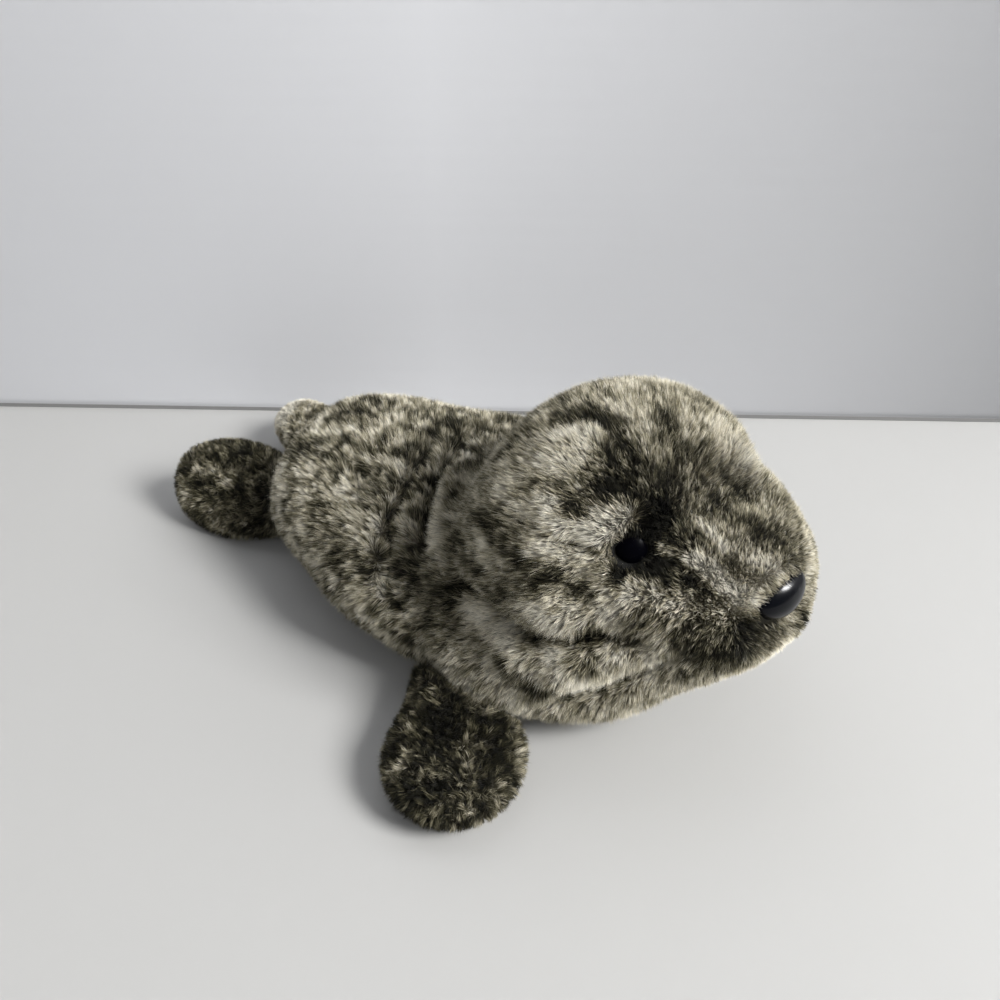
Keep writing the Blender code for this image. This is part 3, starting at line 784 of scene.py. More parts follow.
def plain_material(
    name: str,
) -> tuple[bpy.types.Material, bpy.types.NodeTree, bpy.types.Node]:
    """Makes a material with one shader.

    Args:
        name: The material's name.

    Returns:
        The material, its tree and its shader.
    """
    material = bpy.data.materials.new(name)
    material.use_nodes = True
    tree = material.node_tree
    return material, tree, tree.nodes["Principled BSDF"]


def ramped(tree: bpy.types.NodeTree, factor: Socket, stops: Stops) -> Socket:
    """Adds a colour ramp.

    Args:
        tree: The material's tree.
        factor: The output that the ramp reads.
        stops: Pairs of place and colour, in order.

    Returns:
        The ramp's colour.
    """
    node = fitted(tree, "ShaderNodeValToRGB", {"Fac": factor})
    elements = node.color_ramp.elements
    while len(elements) < len(stops):
        elements.new(1.0)
    for element, (place, colour) in zip(elements, stops):
        element.position = place
        element.color = colour
    return node.outputs["Color"]


def grained(tree: bpy.types.NodeTree, scale: float, detail: float) -> Socket:
    """Adds fine noise on the object's own coordinates.

    Args:
        tree: The material's tree.
        scale: The noise's scale.
        detail: The noise's detail.

    Returns:
        The noise's value.
    """
    place = fitted(tree, "ShaderNodeTexCoord").outputs["Object"]
    inputs = {"Scale": scale, "Detail": detail, "Vector": place}
    return fitted(tree, "ShaderNodeTexNoise", inputs).outputs["Fac"]


def multiplied(tree: bpy.types.NodeTree, first: Socket, second: Socket) -> Socket:
    """Multiplies two colours.

    Args:
        tree: The material's tree.
        first: The first colour.
        second: The second colour.

    Returns:
        The product.
    """
    mix = fitted(tree, "ShaderNodeMix", {"Factor": 1.0}, data_type="RGBA", blend_type="MULTIPLY")
    colours = [socket for socket in mix.inputs if socket.type == "RGBA"]
    tree.links.new(first, colours[0])
    tree.links.new(second, colours[1])
    return next(socket for socket in mix.outputs if socket.type == "RGBA")


def add_bump(
    tree: bpy.types.NodeTree, shader: bpy.types.Node, height: Socket,
    strength: float, distance: float,
) -> None:
    """Adds a bump to a shader.

    Args:
        tree: The material's tree.
        shader: The shader that gets the bump.
        height: The bump's height.
        strength: How strong the bump is.
        distance: How deep it is, in metres.
    """
    inputs = {"Strength": strength, "Distance": distance, "Height": height}
    bump = fitted(tree, "ShaderNodeBump", inputs)
    fill(tree, shader, {"Normal": bump.outputs["Normal"]})


@dataclass(frozen=True)
class PileFinish:
    """The colour of the pile's fibres, from their roots to their tips, with painted shade that
    darkens them towards the roots.
    """

    roughness: float = 0.60
    sheen: float = 0.06
    sheen_roughness: float = 0.5
    specular: float = 0.15
    ramp: tuple[tuple[float, Point], ...] = (
        (0.00, (0.009, 0.009, 0.006)),
        (0.25, (0.075, 0.069, 0.039)),
        (0.50, (0.390, 0.355, 0.240)),
        (0.75, (0.860, 0.800, 0.640)),
        (1.00, (1.000, 0.965, 0.850)),
    )
    # Painted shade: the fibres are darkened towards their roots, where the pile shades itself.
    depth: tuple[tuple[float, float], ...] = ((0.0, 0.16), (0.35, 0.55), (0.75, 1.0))

    def colour(self, tree: bpy.types.NodeTree, tone: Socket) -> Socket:
        """Adds the ramp from the coat's tone to its colour."""
        return ramped(tree, tone, [(place, (*colour, 1.0)) for place, colour in self.ramp])

    def material(self) -> bpy.types.Material:
        """Makes the fibres' material, which reads the tone and the height from the UV map.

        Returns:
            The material.
        """
        material, tree, shader = plain_material("pile fibres")
        place = fitted(tree, "ShaderNodeUVMap", uv_map=PILE_UV)
        split = fitted(tree, "ShaderNodeSeparateXYZ", {0: place.outputs["UV"]})
        colour = self.colour(tree, split.outputs["X"])
        # Painted shade: the tone's colour is multiplied down by height along the fibre, darkest at
        # the root.
        root_shade_stops = [(height, (dark, dark, dark, 1.0)) for height, dark in self.depth]
        shade = ramped(tree, split.outputs["Y"], root_shade_stops)
        fill(tree, shader, {
            "Base Color": multiplied(tree, colour, shade),
            "Roughness": self.roughness,
            "Specular IOR Level": self.specular,
            "Sheen Weight": self.sheen,
            "Sheen Roughness": self.sheen_roughness,
        })
        return material


@dataclass(frozen=True)
class SkinFinish:
    """The short dense underfur and backing that show between the fibres, darkened by painted shade.
    """

    pile: PileFinish
    # Painted shade: the underfur's colour is multiplied down to this share, as it lies in the
    # pile's shadow.
    shade: float = 0.30
    dark_share: float = 0.5
    patches: tuple[float, float] = (0.35, 0.65)
    roughness: float = 0.95
    grain: float = 900.0
    detail: float = 3.0
    bump: float = 0.35
    bump_depth: float = 0.001

    def material(self) -> bpy.types.Material:
        """Makes the skin's material, which reads the coat's tone from an attribute.

        Returns:
            The material.
        """
        material, tree, shader = plain_material("underfur")
        tone = fitted(tree, "ShaderNodeAttribute", attribute_name=TONE)
        colour = self.pile.colour(tree, tone.outputs["Fac"])
        grain = grained(tree, self.grain, self.detail)
        # Painted shade, broken up by fine grain into darker and lighter patches.
        dark = (self.dark_share * self.shade,) * 3 + (1.0,)
        pale = (self.shade,) * 3 + (1.0,)
        shade = ramped(tree, grain, list(zip(self.patches, (dark, pale))))
        base = multiplied(tree, colour, shade)
        fill(tree, shader, {"Base Color": base, "Roughness": self.roughness})
        add_bump(tree, shader, grain, self.bump, self.bump_depth)
        return material


@dataclass(frozen=True)
class ButtonFinish:
    """Moulded black plastic, polished but with fine handling scratches."""

    colour: Point
    roughness: float
    shine: float
    worn_share: float = 2.4
    scratch_scale: float = 260.0
    detail: float = 6.0
    bump: float = 0.04
    bump_depth: float = 0.0004

    def material(self, name: str) -> bpy.types.Material:
        """Makes the polished plastic of one button.

        Args:
            name: The material's name.

        Returns:
            The material.
        """
        material, tree, shader = plain_material(name)
        haze = grained(tree, self.scratch_scale, self.detail)
        rough = fitted(tree, "ShaderNodeMapRange", {
            "To Min": self.roughness, "To Max": self.roughness * self.worn_share, "Value": haze,
        })
        fill(tree, shader, {
            "Base Color": (*self.colour, 1.0),
            "Roughness": rough.outputs["Result"],
            "Specular IOR Level": self.shine,
        })
        add_bump(tree, shader, haze, self.bump, self.bump_depth)
        return material


@dataclass(frozen=True)
class HiddenFinish:
    """White fibre filling, or the plain plastic of a washer."""

    name: str
    colour: Point
    roughness: float
    scale: float
    bump: float
    detail: float = 5.0
    dark_share: float = 0.8
    patches: tuple[float, float] = (0.3, 0.7)
    bump_depth: float = 0.001

    def material(self) -> bpy.types.Material:
        """Makes the material of a piece inside the seal.

        Returns:
            The material.
        """
        material, tree, shader = plain_material(self.name)
        grain = grained(tree, self.scale, self.detail)
        dark = (*(self.dark_share * share for share in self.colour), 1.0)
        base = ramped(tree, grain, list(zip(self.patches, (dark, (*self.colour, 1.0)))))
        fill(tree, shader, {"Base Color": base, "Roughness": self.roughness})
        add_bump(tree, shader, grain, self.bump, self.bump_depth)
        return material


def new_object(name: str, mesh: bpy.types.Mesh) -> bpy.types.Object:
    """Puts a mesh into the scene.

    Args:
        name: The object's name.
        mesh: Its mesh.

    Returns:
        The object, at the origin.
    """
    made = bpy.data.objects.new(name, mesh)
    bpy.context.scene.collection.objects.link(made)
    return made


def settled(obj: bpy.types.Object) -> bpy.types.Mesh:
    """Takes an object's mesh as its modifiers leave it, and removes the object.

    Args:
        obj: The object.

    Returns:
        The finished mesh.
    """
    graph = bpy.context.evaluated_depsgraph_get()
    mesh = bpy.data.meshes.new_from_object(obj.evaluated_get(graph))
    bpy.data.objects.remove(obj)
    return mesh


@dataclass(frozen=True)
class Surface:
    """A skin's mesh as arrays."""

    places: Array
    normals: Array
    triangles: Array
    cloth: Array

    @classmethod
    def of(cls, mesh: bpy.types.Mesh) -> "Surface":
        """Reads a mesh into arrays, with where its cloth lay before it was folded.

        Args:
            mesh: The mesh.

        Returns:
            The surface.
        """
        places = np.zeros(len(mesh.vertices) * 3)
        mesh.vertices.foreach_get("co", places)
        normals = np.zeros(len(mesh.vertices) * 3)
        mesh.vertex_normals.foreach_get("vector", normals)
        mesh.calc_loop_triangles()
        triangles = np.zeros(len(mesh.loop_triangles) * 3, int)
        mesh.loop_triangles.foreach_get("vertices", triangles)
        cloth = places.copy()
        if CLOTH in mesh.attributes:
            mesh.attributes[CLOTH].data.foreach_get("vector", cloth)
        shaped = (values.reshape(-1, 3) for values in (places, normals, triangles, cloth))
        return cls(*shaped)

    def scatter(self, density: float, seed: int) -> tuple[Array, Array, Array]:
        """Spreads places evenly over the surface.

        Args:
            density: How many, per square metre.
            seed: Seed of the random draws.

        Returns:
            The places, the normals there, and where the cloth lay before it was folded.
        """
        draw = np.random.default_rng(seed)
        corners = self.places[self.triangles]
        crossed = np.cross(corners[:, 1] - corners[:, 0], corners[:, 2] - corners[:, 0])
        reach = np.cumsum(np.linalg.norm(crossed, axis=1) / 2.0)
        count = int(reach[-1] * density)
        goals = (np.arange(count) + draw.random(count)) * reach[-1] / count
        chosen = np.minimum(np.searchsorted(reach, goals), len(reach) - 1)
        first, second = draw.random(count), draw.random(count)
        over = first + second > 1.0
        first[over], second[over] = 1.0 - first[over], 1.0 - second[over]
        weights = np.stack([1.0 - first - second, first, second], axis=1)[:, :, None]
        picked = self.triangles[chosen]
        places = (self.places[picked] * weights).sum(axis=1)
        normals = unit((self.normals[picked] * weights).sum(axis=1))
        return places, normals, (self.cloth[picked] * weights).sum(axis=1)


@dataclass
class Skin:
    """The padded skin of the seal, below its pile."""

    voxel: float = 0.0019
    belly_depth: float = 0.0012
    smoothing: int = 8
    smooth_factor: float = 0.5
    facing_down: Change = Change(1.0, -1.0, -0.95, -0.55)
    near_table: Change = Change(1.0, -1.0, 0.002, 0.005)

    def solid(self, nodes: tuple[str, ...]) -> bpy.types.Mesh:
        """Joins CAD nodes into one closed even mesh.

        Args:
            nodes: The nodes' names.

        Returns:
            The mesh.
        """
        joined = bmesh.new()
        for node in nodes:
            joined.from_mesh(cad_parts[node].data)
        bmesh.ops.remove_doubles(joined, verts=joined.verts[:], dist=MERGE)
        mesh = bpy.data.meshes.new("solid")
        joined.to_mesh(mesh)
        joined.free()
        holder = new_object("solid", mesh)
        remesh = holder.modifiers.new("even", "REMESH")
        remesh.mode = "VOXEL"
        remesh.voxel_size = self.voxel
        smooth = holder.modifiers.new("smooth", "SMOOTH")
        smooth.iterations = self.smoothing
        smooth.factor = self.smooth_factor
        return settled(holder)

    def outer(self, mesh: bpy.types.Mesh) -> bpy.types.Mesh:
        """Keeps the largest of a mesh's separate shells.

        Args:
            mesh: The mesh.

        Returns:
            The same mesh.
        """
        work = bmesh.new()
        work.from_mesh(mesh)
        left = set(work.verts)
        shells = []
        while left:
            queue = [left.pop()]
            shell = set(queue)
            while queue:
                for edge in queue.pop().link_edges:
                    for vert in edge.verts:
                        if vert in left:
                            left.remove(vert)
                            shell.add(vert)
                            queue.append(vert)
            shells.append(shell)
        keep = max(shells, key=len)
        drop = [vert for vert in work.verts if vert not in keep]
        bmesh.ops.delete(work, geom=drop, context="VERTS")
        work.to_mesh(mesh)
        work.free()
        return mesh

    def drawn_in(self, mesh: bpy.types.Mesh, coat: Coat, region: Region) -> bpy.types.Mesh:
        """Moves a mesh inward by the height of the pile, less where the seal lies on it.

        Args:
            mesh: The mesh.
            coat: The coat that grows on it.
            region: The stretch of the coat.

        Returns:
            The same mesh.
        """
        surface = Surface.of(mesh)
        pressed = self.facing_down.at(surface.normals[:, 2])
        pressed *= self.near_table.at(surface.places[:, 2])
        depth = coat.height(surface.places, region)
        depth -= coat.relief(surface.places)
        depth += (self.belly_depth - depth) * pressed
        places = surface.places - surface.normals * depth[:, None]
        mesh.vertices.foreach_set("co", places.ravel())
        cloth = mesh.attributes.new(CLOTH, "FLOAT_VECTOR", "POINT")
        cloth.data.foreach_set("vector", surface.places.astype(np.float32).ravel())
        mesh.update()
        return mesh

    def halves(
        self, mesh: bpy.types.Mesh, point: Vector, normal: Vector
    ) -> list[bpy.types.Mesh]:
        """Parts the body's skin at the neck seam and closes both parts.

        Args:
            mesh: The whole body's skin.
            point: A place on the seam.
            normal: The seam's normal, towards the torso.

        Returns:
            The meshes of the head and of the torso.
        """
        parts = []
        for name, outward in (("head_skin", normal), ("torso_skin", -normal)):
            work = bmesh.new()
            work.from_mesh(mesh)
            everything = work.verts[:] + work.edges[:] + work.faces[:]
            bmesh.ops.bisect_plane(
                work, geom=everything, plane_co=point, plane_no=outward, clear_outer=True
            )
            rim = [edge for edge in work.edges if edge.is_boundary]
            bmesh.ops.holes_fill(work, edges=rim, sides=0)
            part = bpy.data.meshes.new(name)
            work.to_mesh(part)
            work.free()
            parts.append(part)
        return parts


@dataclass
class Fibres:
    """Geometry nodes that stand a tapered blade on each root of the pile."""

    blade_name: str = "fibre blade"
    colour_spread: float = 0.004
    height_share: float = 0.97
    height_start: float = 0.015

    def blade(self) -> bpy.types.Object:
        """Makes the flat blade that every fibre is a copy of.

        Returns:
            The blade.
        """
        mesh = bpy.data.meshes.new(self.blade_name)
        corners = [(-1, 0), (1, 0), (0, 1)]
        mesh.from_pydata([(x, y, 0) for x, y in corners], [], [(0, 1, 2)])
        mesh.shade_smooth()
        for name, axis in (("side", 0), ("along", 1)):
            values = mesh.attributes.new(name, "FLOAT", "POINT")
            values.data.foreach_set("value", [float(corner[axis]) for corner in corners])
        return new_object(self.blade_name, mesh)

    def tree(self) -> bpy.types.GeometryNodeTree:
        """Builds the tree: blades on roots, laid along their growth, with colour places.

        Returns:
            The tree.
        """
        tree = bpy.data.node_groups.new("pile", "GeometryNodeTree")
        for name, way, kind in (
            ("Roots", "INPUT", "Geometry"), ("Blade", "INPUT", "Object"),
            ("Finish", "INPUT", "Material"), ("Pile", "OUTPUT", "Geometry"),
        ):
            tree.interface.new_socket(name, in_out=way, socket_type="NodeSocket" + kind)
        given = fitted(tree, "NodeGroupInput").outputs

        def named(name: str, kind: str) -> Socket:
            """Reads an attribute of the roots or of the blade."""
            node = fitted(tree, "GeometryNodeInputNamedAttribute", {"Name": name}, data_type=kind)
            return node.outputs["Attribute"]

        def scaled(vector: Socket, factor: Socket) -> Socket:
            """Scales a vector by a value."""
            inputs = {"Vector": vector, "Scale": factor}
            return fitted(tree, "ShaderNodeVectorMath", inputs, operation="SCALE").outputs["Vector"]

        def added(first: Socket, second: Socket) -> Socket:
            """Adds two vectors."""
            inputs = {0: first, 1: second}
            return fitted(tree, "ShaderNodeVectorMath", inputs, operation="ADD").outputs["Vector"]

        def scaled_and_moved(value: Socket, share: float, start: Socket | float) -> Socket:
            """Scales a value and adds another."""
            inputs = {0: value, 1: share, 2: start}
            return fitted(tree, "ShaderNodeMath", inputs, operation="MULTIPLY_ADD").outputs[0]

        source = fitted(tree, "GeometryNodeObjectInfo", {"Object": given["Blade"]})
        stand = fitted(tree, "GeometryNodeInstanceOnPoints", {
            "Points": given["Roots"], "Instance": source.outputs["Geometry"],
        })
        real = fitted(
            tree, "GeometryNodeRealizeInstances", {"Geometry": stand.outputs["Instances"]}
        )
        along, side = named("along", "FLOAT"), named("side", "FLOAT")
        place = added(named("root", "FLOAT_VECTOR"), scaled(named("growth", "FLOAT_VECTOR"), along))
        place = added(place, scaled(named("across", "FLOAT_VECTOR"), side))
        shape = fitted(tree, "GeometryNodeSetPosition", {
            "Geometry": real.outputs["Geometry"], "Position": place,
        })
        paint = fitted(tree, "ShaderNodeCombineXYZ", {
            "X": scaled_and_moved(side, self.colour_spread, named(TONE, "FLOAT")),
            "Y": scaled_and_moved(along, self.height_share, self.height_start),
        })
        store = fitted(
            tree, "GeometryNodeStoreNamedAttribute",
            {"Name": PILE_UV, "Geometry": shape.outputs["Geometry"]},
            data_type="FLOAT2", domain="CORNER",
        )
        value = next(s for s in store.inputs if s.name == "Value" and s.enabled)
        tree.links.new(paint.outputs["Vector"], value)
        coat = fitted(tree, "GeometryNodeSetMaterial", {
            "Geometry": store.outputs["Geometry"], "Material": given["Finish"],
        })
        fitted(tree, "NodeGroupOutput", {"Pile": coat.outputs["Geometry"]})
        return tree

    def grown(
        self, name: str, fibres: dict[str, Array], blade: bpy.types.Object,
        tree: bpy.types.GeometryNodeTree, finish: bpy.types.Material,
    ) -> bpy.types.Object:
        """Grows one piece of pile from its roots.

        Args:
            name: The piece's name.
            fibres: Root, growth, across and tone of each fibre.
            blade: The blade's object.
            tree: The nodes.
            finish: The fibres' material.

        Returns:
            The piece, a plain mesh.
        """
        roots = bpy.data.meshes.new(name + " roots")
        count = len(fibres["root"])
        roots.vertices.add(count)
        roots.vertices.foreach_set("co", fibres["root"].astype(np.float32).ravel())
        for key in ("root", "growth", "across"):
            values = roots.attributes.new(key, "FLOAT_VECTOR", "POINT")
            values.data.foreach_set("vector", fibres[key].astype(np.float32).ravel())
        tones = roots.attributes.new(TONE, "FLOAT", "POINT")
        tones.data.foreach_set("value", fibres[TONE].astype(np.float32))
        holder = new_object(name + " roots", roots)
        modifier = holder.modifiers.new("pile", "NODES")
        modifier.node_group = tree
        given = {"Blade": blade, "Finish": finish}
        for socket in tree.interface.items_tree:
            if socket.item_type == "SOCKET" and socket.name in given:
                modifier[socket.identifier] = given[socket.name]
        mesh = settled(holder)
        for key in ("root", "growth", "across", "along", "side", TONE):
            if key in mesh.attributes:
                mesh.attributes.remove(mesh.attributes[key])
        mesh.name = name
        return new_object(name, mesh)


@dataclass
class Pile:
    """The pile of one region of the coat."""

    region: Region
    face: Face
    nap: Nap
    coat: Coat
    seed: int
    bare_height: float = 0.0030
    bare_facing: float = -0.75
    nose_bare: tuple[float, float] = (1.04, 0.90)
    right_eye_bare: tuple[float, float] = (1.14, 0.76)
    left_eye_bare: tuple[float, float] = (0.92, 0.70)
    button_top: float = 0.8
    button_back: float = -0.02
    floor_gap: float = 0.0003
    floor_spread: float = 0.001
    tuft_blur: float = 0.12
    shortest: float = 0.6
    tallest: float = 1.3
    least_lift: float = 0.35
    most_lift: float = 1.45
    most_gather: float = 0.9
    thinnest: float = 0.7
    thickest: float = 1.25
    stray_share: float = 0.09
    stray_lift: float = 0.25
    stray_height: float = 1.22
    stray_gather: float = 0.3
    stray_girth: float = 0.6

    def kept(self, points: Array, normals: Array) -> Array:
        """Tells which roots grow: none under the buttons, and none where the seal lies.

        Args:
            points: The roots' places.
            normals: The skin's normals there.

        Returns:
            True for each root that grows.
        """
        keep = ~((points[:, 2] < self.bare_height) & (normals[:, 2] < self.bare_facing))
        if self.region is Region.HEAD:
            for seat, (low, high) in (
                (self.face.nose, self.nose_bare),
                (self.face.right_eye, self.right_eye_bare),
                (self.face.left_eye, self.left_eye_bare),
            ):
                away = points - seat.middle
                above = eased(away @ seat.up / seat.half_height, 0.0, self.button_top)
                edge = low + (high - low) * above
                keep &= ~((seat.share(points) < edge) & (away @ seat.out > self.button_back))
        return keep

    def fibres(self, surface: Surface) -> dict[str, Array]:
        """Works out every fibre of the region.

        Args:
            surface: The region's skin.

        Returns:
            Root, growth, across and tone of each fibre.
        """
        cut = CUTS[self.region]
        draw = np.random.default_rng(self.seed)
        roots, normals, cloth = surface.scatter(cut.density, self.seed + 1)
        keep = self.kept(roots, normals)
        roots, normals, cloth = roots[keep], normals[keep], cloth[keep]
        count = len(roots)
        stray = draw.random(count) < self.stray_share
        blur = draw.normal(0.0, self.tuft_blur * cut.tuft, (count, 3))
        tuft = Cells(self.seed).at(roots + blur, cut.tuft)
        tufts = tuft.max() + 1

        def uneven(level: Array | float, by_tuft: float, by_fibre: float) -> Array:
            """Varies a level from tuft to tuft and from fibre to fibre."""
            level = level + draw.normal(0.0, by_tuft, tufts)[tuft]
            return level + draw.normal(0.0, by_fibre, count)

        lay = self.nap.lay(roots, normals, self.region, cut.wildness)
        lay = turned_about(lay, normals, uneven(0.0, 0.5 * cut.wildness, 0.25))
        lift = uneven(cut.lift, 0.16, 0.14)
        lift = np.where(stray, lift + self.stray_lift, lift)
        lift = np.clip(lift, self.least_lift, self.most_lift)
        tall = self.coat.height(cloth, self.region)
        own = 1.0 + draw.normal(0.0, 0.10, count)
        tall = tall * np.clip(own, self.shortest, self.tallest)
        tall = tall * (1.0 + draw.normal(0.0, 0.08, tufts)[tuft])
        tall = np.where(stray, self.stray_height * tall, tall)
        tip = roots + tall[:, None] * (normals + lay / np.tan(lift)[:, None])

        members = np.bincount(tuft)
        head = np.stack([np.bincount(tuft, tip[:, axis]) / members for axis in range(3)], axis=1)
        gather = cut.gather * (1.0 + draw.normal(0.0, 0.35, count))
        gather = np.clip(gather, 0.0, self.most_gather)
        gather = np.where(stray, self.stray_gather * gather, gather)
        tip = tip + gather[:, None] * along_surface(head[tuft] - tip, normals)
        floor = self.floor_gap + self.floor_spread * draw.random(count)
        tip[:, 2] = np.maximum(tip[:, 2], floor)
        growth = tip - roots

        roll = draw.normal(0.0, 0.35, count)
        across = unit(np.cross(growth, normals) + 1e-5)
        across = turned_about(across, unit(growth), roll)
        girth = np.where(stray, self.stray_girth, 1.0) * cut.girth
        girth = girth * draw.uniform(self.thinnest, self.thickest, count) / 2.0
        tone = uneven(self.coat.tone(cloth, self.region), 0.13, cut.speckle)
        # Painted highlight: stray fibres are paled, standing in for the lit halo at the outline and
        # for highlights in dark pile.
        pale = cut.stray_highlight + (1.0 - cut.stray_highlight) * np.clip(tone, -1.0, 1.0)
        tone = np.where(stray, pale, tone)
        return {
            "root": roots, "growth": growth,
            "across": across * girth[:, None], TONE: np.clip(tone, 0.02, 0.98),
        }


@dataclass
class Body:
    """The head, the torso and the flippers: their skins and their pile."""

    face: Face = field(default_factory=Face)
    skin: Skin = field(default_factory=Skin)
    seam_point: Point = (0.0, -0.0206, 0.0265)
    seam_lean: float = 27.0
    most_fibres: int = 190000
    backing: float = 0.0012
    stuffing_share: float = 0.2
    first_seed: int = 100
    seed_step: int = 10
    stuffing_finish: HiddenFinish = HiddenFinish(
        "fibre filling", (0.85, 0.85, 0.83), 1.0, 120.0, 0.6
    )

    def __post_init__(self) -> None:
        """Makes what all the regions share."""
        self.nap = Nap(self.face)
        self.coat = Coat(self.face)
        self.pile_finish = PileFinish()
        self.skin_material = SkinFinish(self.pile_finish).material()
        self.pile_material = self.pile_finish.material()

    def skins(self) -> dict[Region, bpy.types.Mesh]:
        """Makes the skins of all the regions.

        Returns:
            One mesh for each region.
        """
        core = (
            "torso_cover", "head_cover", "torso_filling", "head_filling", "nose", "nose_washer",
            "eye_left", "eye_right", "eye_washer_left", "eye_washer_right",
        )
        whole = self.skin.outer(self.skin.solid(core))
        body = self.skin.drawn_in(whole, self.coat, Region.HEAD)
        lean = math.radians(self.seam_lean)
        normal = Vector((0.0, math.cos(lean), -math.sin(lean)))
        head, torso = self.skin.halves(body, Vector(self.seam_point), normal)
        made = {Region.HEAD: head, Region.TORSO: torso}
        for region in list(Region)[len(BODY_REGIONS):]:
            solid = self.skin.solid((region.value,))
            made[region] = self.skin.drawn_in(solid, self.coat, region)
        return made

    def dress_skin(self, region: Region, mesh: bpy.types.Mesh) -> bpy.types.Object:
        """Turns a skin's mesh into a finished piece.

        Args:
            region: The region of the coat.
            mesh: Its skin.

        Returns:
            The piece.
        """
        mesh.name = region.value + "_skin"
        piece = new_object(mesh.name, mesh)
        mesh.shade_smooth()
        surface = Surface.of(mesh)
        tone = mesh.attributes.new(TONE, "FLOAT", "POINT")
        values = np.clip(self.coat.tone(surface.cloth, region), 0.0, 1.0)
        tone.data.foreach_set("value", values.astype(np.float32))
        mesh.materials.clear()
        mesh.materials.append(self.skin_material)
        covers = {Region.HEAD: "head_cover", Region.TORSO: "torso_cover"}
        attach(piece, "root")
        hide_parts(covers.get(region, region.value))
        return piece

    def stuffing(self, region: Region, mesh: bpy.types.Mesh) -> bpy.types.Object:
        """Makes the filling that fills a skin, folds and all.

        Args:
            region: The head or the torso.
            mesh: Its skin.

        Returns:
            The piece.
        """
        surface = Surface.of(mesh)
        inner = mesh.copy()
        inner.name = region.value + "_stuffing"
        places = surface.places - surface.normals * self.backing
        inner.vertices.foreach_set("co", places.ravel())
        holder = new_object(inner.name + " whole", inner)
        fewer = holder.modifiers.new("fewer", "DECIMATE")
        fewer.ratio = self.stuffing_share
        piece = new_object(region.value + "_stuffing", settled(holder))
        piece.data.materials.clear()
        piece.data.materials.append(self.stuffing_finish.material())
        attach(piece, "root")
        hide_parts(region.value + "_filling")
        return piece

    def build(self) -> list[bpy.types.Object]:
        """Makes every skin, its filling and its pile.

        Returns:
            The pieces.
        """
        made = []
        maker = Fibres()
        blade, tree = maker.blade(), maker.tree()
        for number, (region, mesh) in enumerate(self.skins().items()):
            if region in BODY_REGIONS:
                made.append(self.stuffing(region, mesh))
            made.append(self.dress_skin(region, mesh))
            seed = self.first_seed + self.seed_step * number
            pile = Pile(region, self.face, self.nap, self.coat, seed)
            fibres = pile.fibres(Surface.of(mesh))
            order = np.argsort(fibres["root"][:, 1], kind="stable")
            pieces = math.ceil(len(order) / self.most_fibres)
            for part, rows in enumerate(np.array_split(order, pieces)):
                name = f"{region.value}_pile" + (f"_{part + 1}" if pieces > 1 else "")
                own = {key: value[rows] for key, value in fibres.items()}
                piece = maker.grown(name, own, blade, tree, self.pile_material)
                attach(piece, "root")
                made.append(piece)
        bpy.data.objects.remove(blade)
        return made


@dataclass
class Buttons:
    """The two eyes and the nose, polished black plastic."""

    eye: ButtonFinish = ButtonFinish((0.001, 0.001, 0.002), 0.18, 0.03)
    nose: ButtonFinish = ButtonFinish((0.002, 0.0025, 0.004), 0.13, 0.16)
    smoothing: int = 2
    flat_angle: float = 40.0
    skew_angle: float = 60.0

    def build(self) -> list[bpy.types.Object]:
        """Makes the three buttons, each round and smooth.

        Returns:
            The pieces.
        """
        made = []
        for node in ("eye_left", "eye_right", "nose"):
            work = bmesh.new()
            work.from_mesh(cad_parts[node].data)
            bmesh.ops.remove_doubles(work, verts=work.verts[:], dist=MERGE)
            bmesh.ops.join_triangles(
                work, faces=work.faces[:], angle_face_threshold=math.radians(self.flat_angle),
                angle_shape_threshold=math.radians(self.skew_angle),
            )
            bmesh.ops.recalc_face_normals(work, faces=work.faces[:])
            mesh = bpy.data.meshes.new(node + "_button")
            work.to_mesh(mesh)
            work.free()
            holder = new_object(node + "_rough", mesh)
            rounder = holder.modifiers.new("round", "SUBSURF")
            rounder.levels = rounder.render_levels = self.smoothing
            piece = new_object(node + "_button", settled(holder))
            piece.data.shade_smooth()
            piece.data.materials.clear()
            finish = self.nose if node == "nose" else self.eye
            piece.data.materials.append(finish.material(node + " plastic"))
            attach(piece, "root")
            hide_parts(node)
            made.append(piece)
        return made


@dataclass
class Inside:
    """The washers, which the covers hide."""

    washer: HiddenFinish = HiddenFinish("washer plastic", (0.80, 0.80, 0.78), 0.5, 400.0, 0.1)

    def dress(self) -> None:
        """Gives the washers their own finish."""
        material = self.washer.material()
        for name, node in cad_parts.items():
            if "washer" in name:
                for number in range(len(node.material_slots)):
                    node.material_slots[number].material = material


@dataclass(frozen=True)
class Lamp:
    """A soft square lamp; a glint shows only in polish, and any other lamp never does."""

    name: str
    place: Point
    size: float
    power: float
    colour: Point = (1.0, 1.0, 1.0)
    glint: bool = False
    aim: Point = (0.0, -0.02, 0.05)

    def hang(self) -> None:
        """Hangs the lamp and turns it towards the seal."""
        data = bpy.data.lights.new(self.name, "AREA")
        data.size = self.size
        data.energy = self.power
        data.color = self.colour
        lamp = new_object(self.name, data)
        lamp.location = self.place
        away = Vector(self.aim) - lamp.location
        lamp.rotation_euler = away.to_track_quat("-Z", "Y").to_euler()
        lamp.visible_diffuse = not self.glint
        lamp.visible_glossy = self.glint


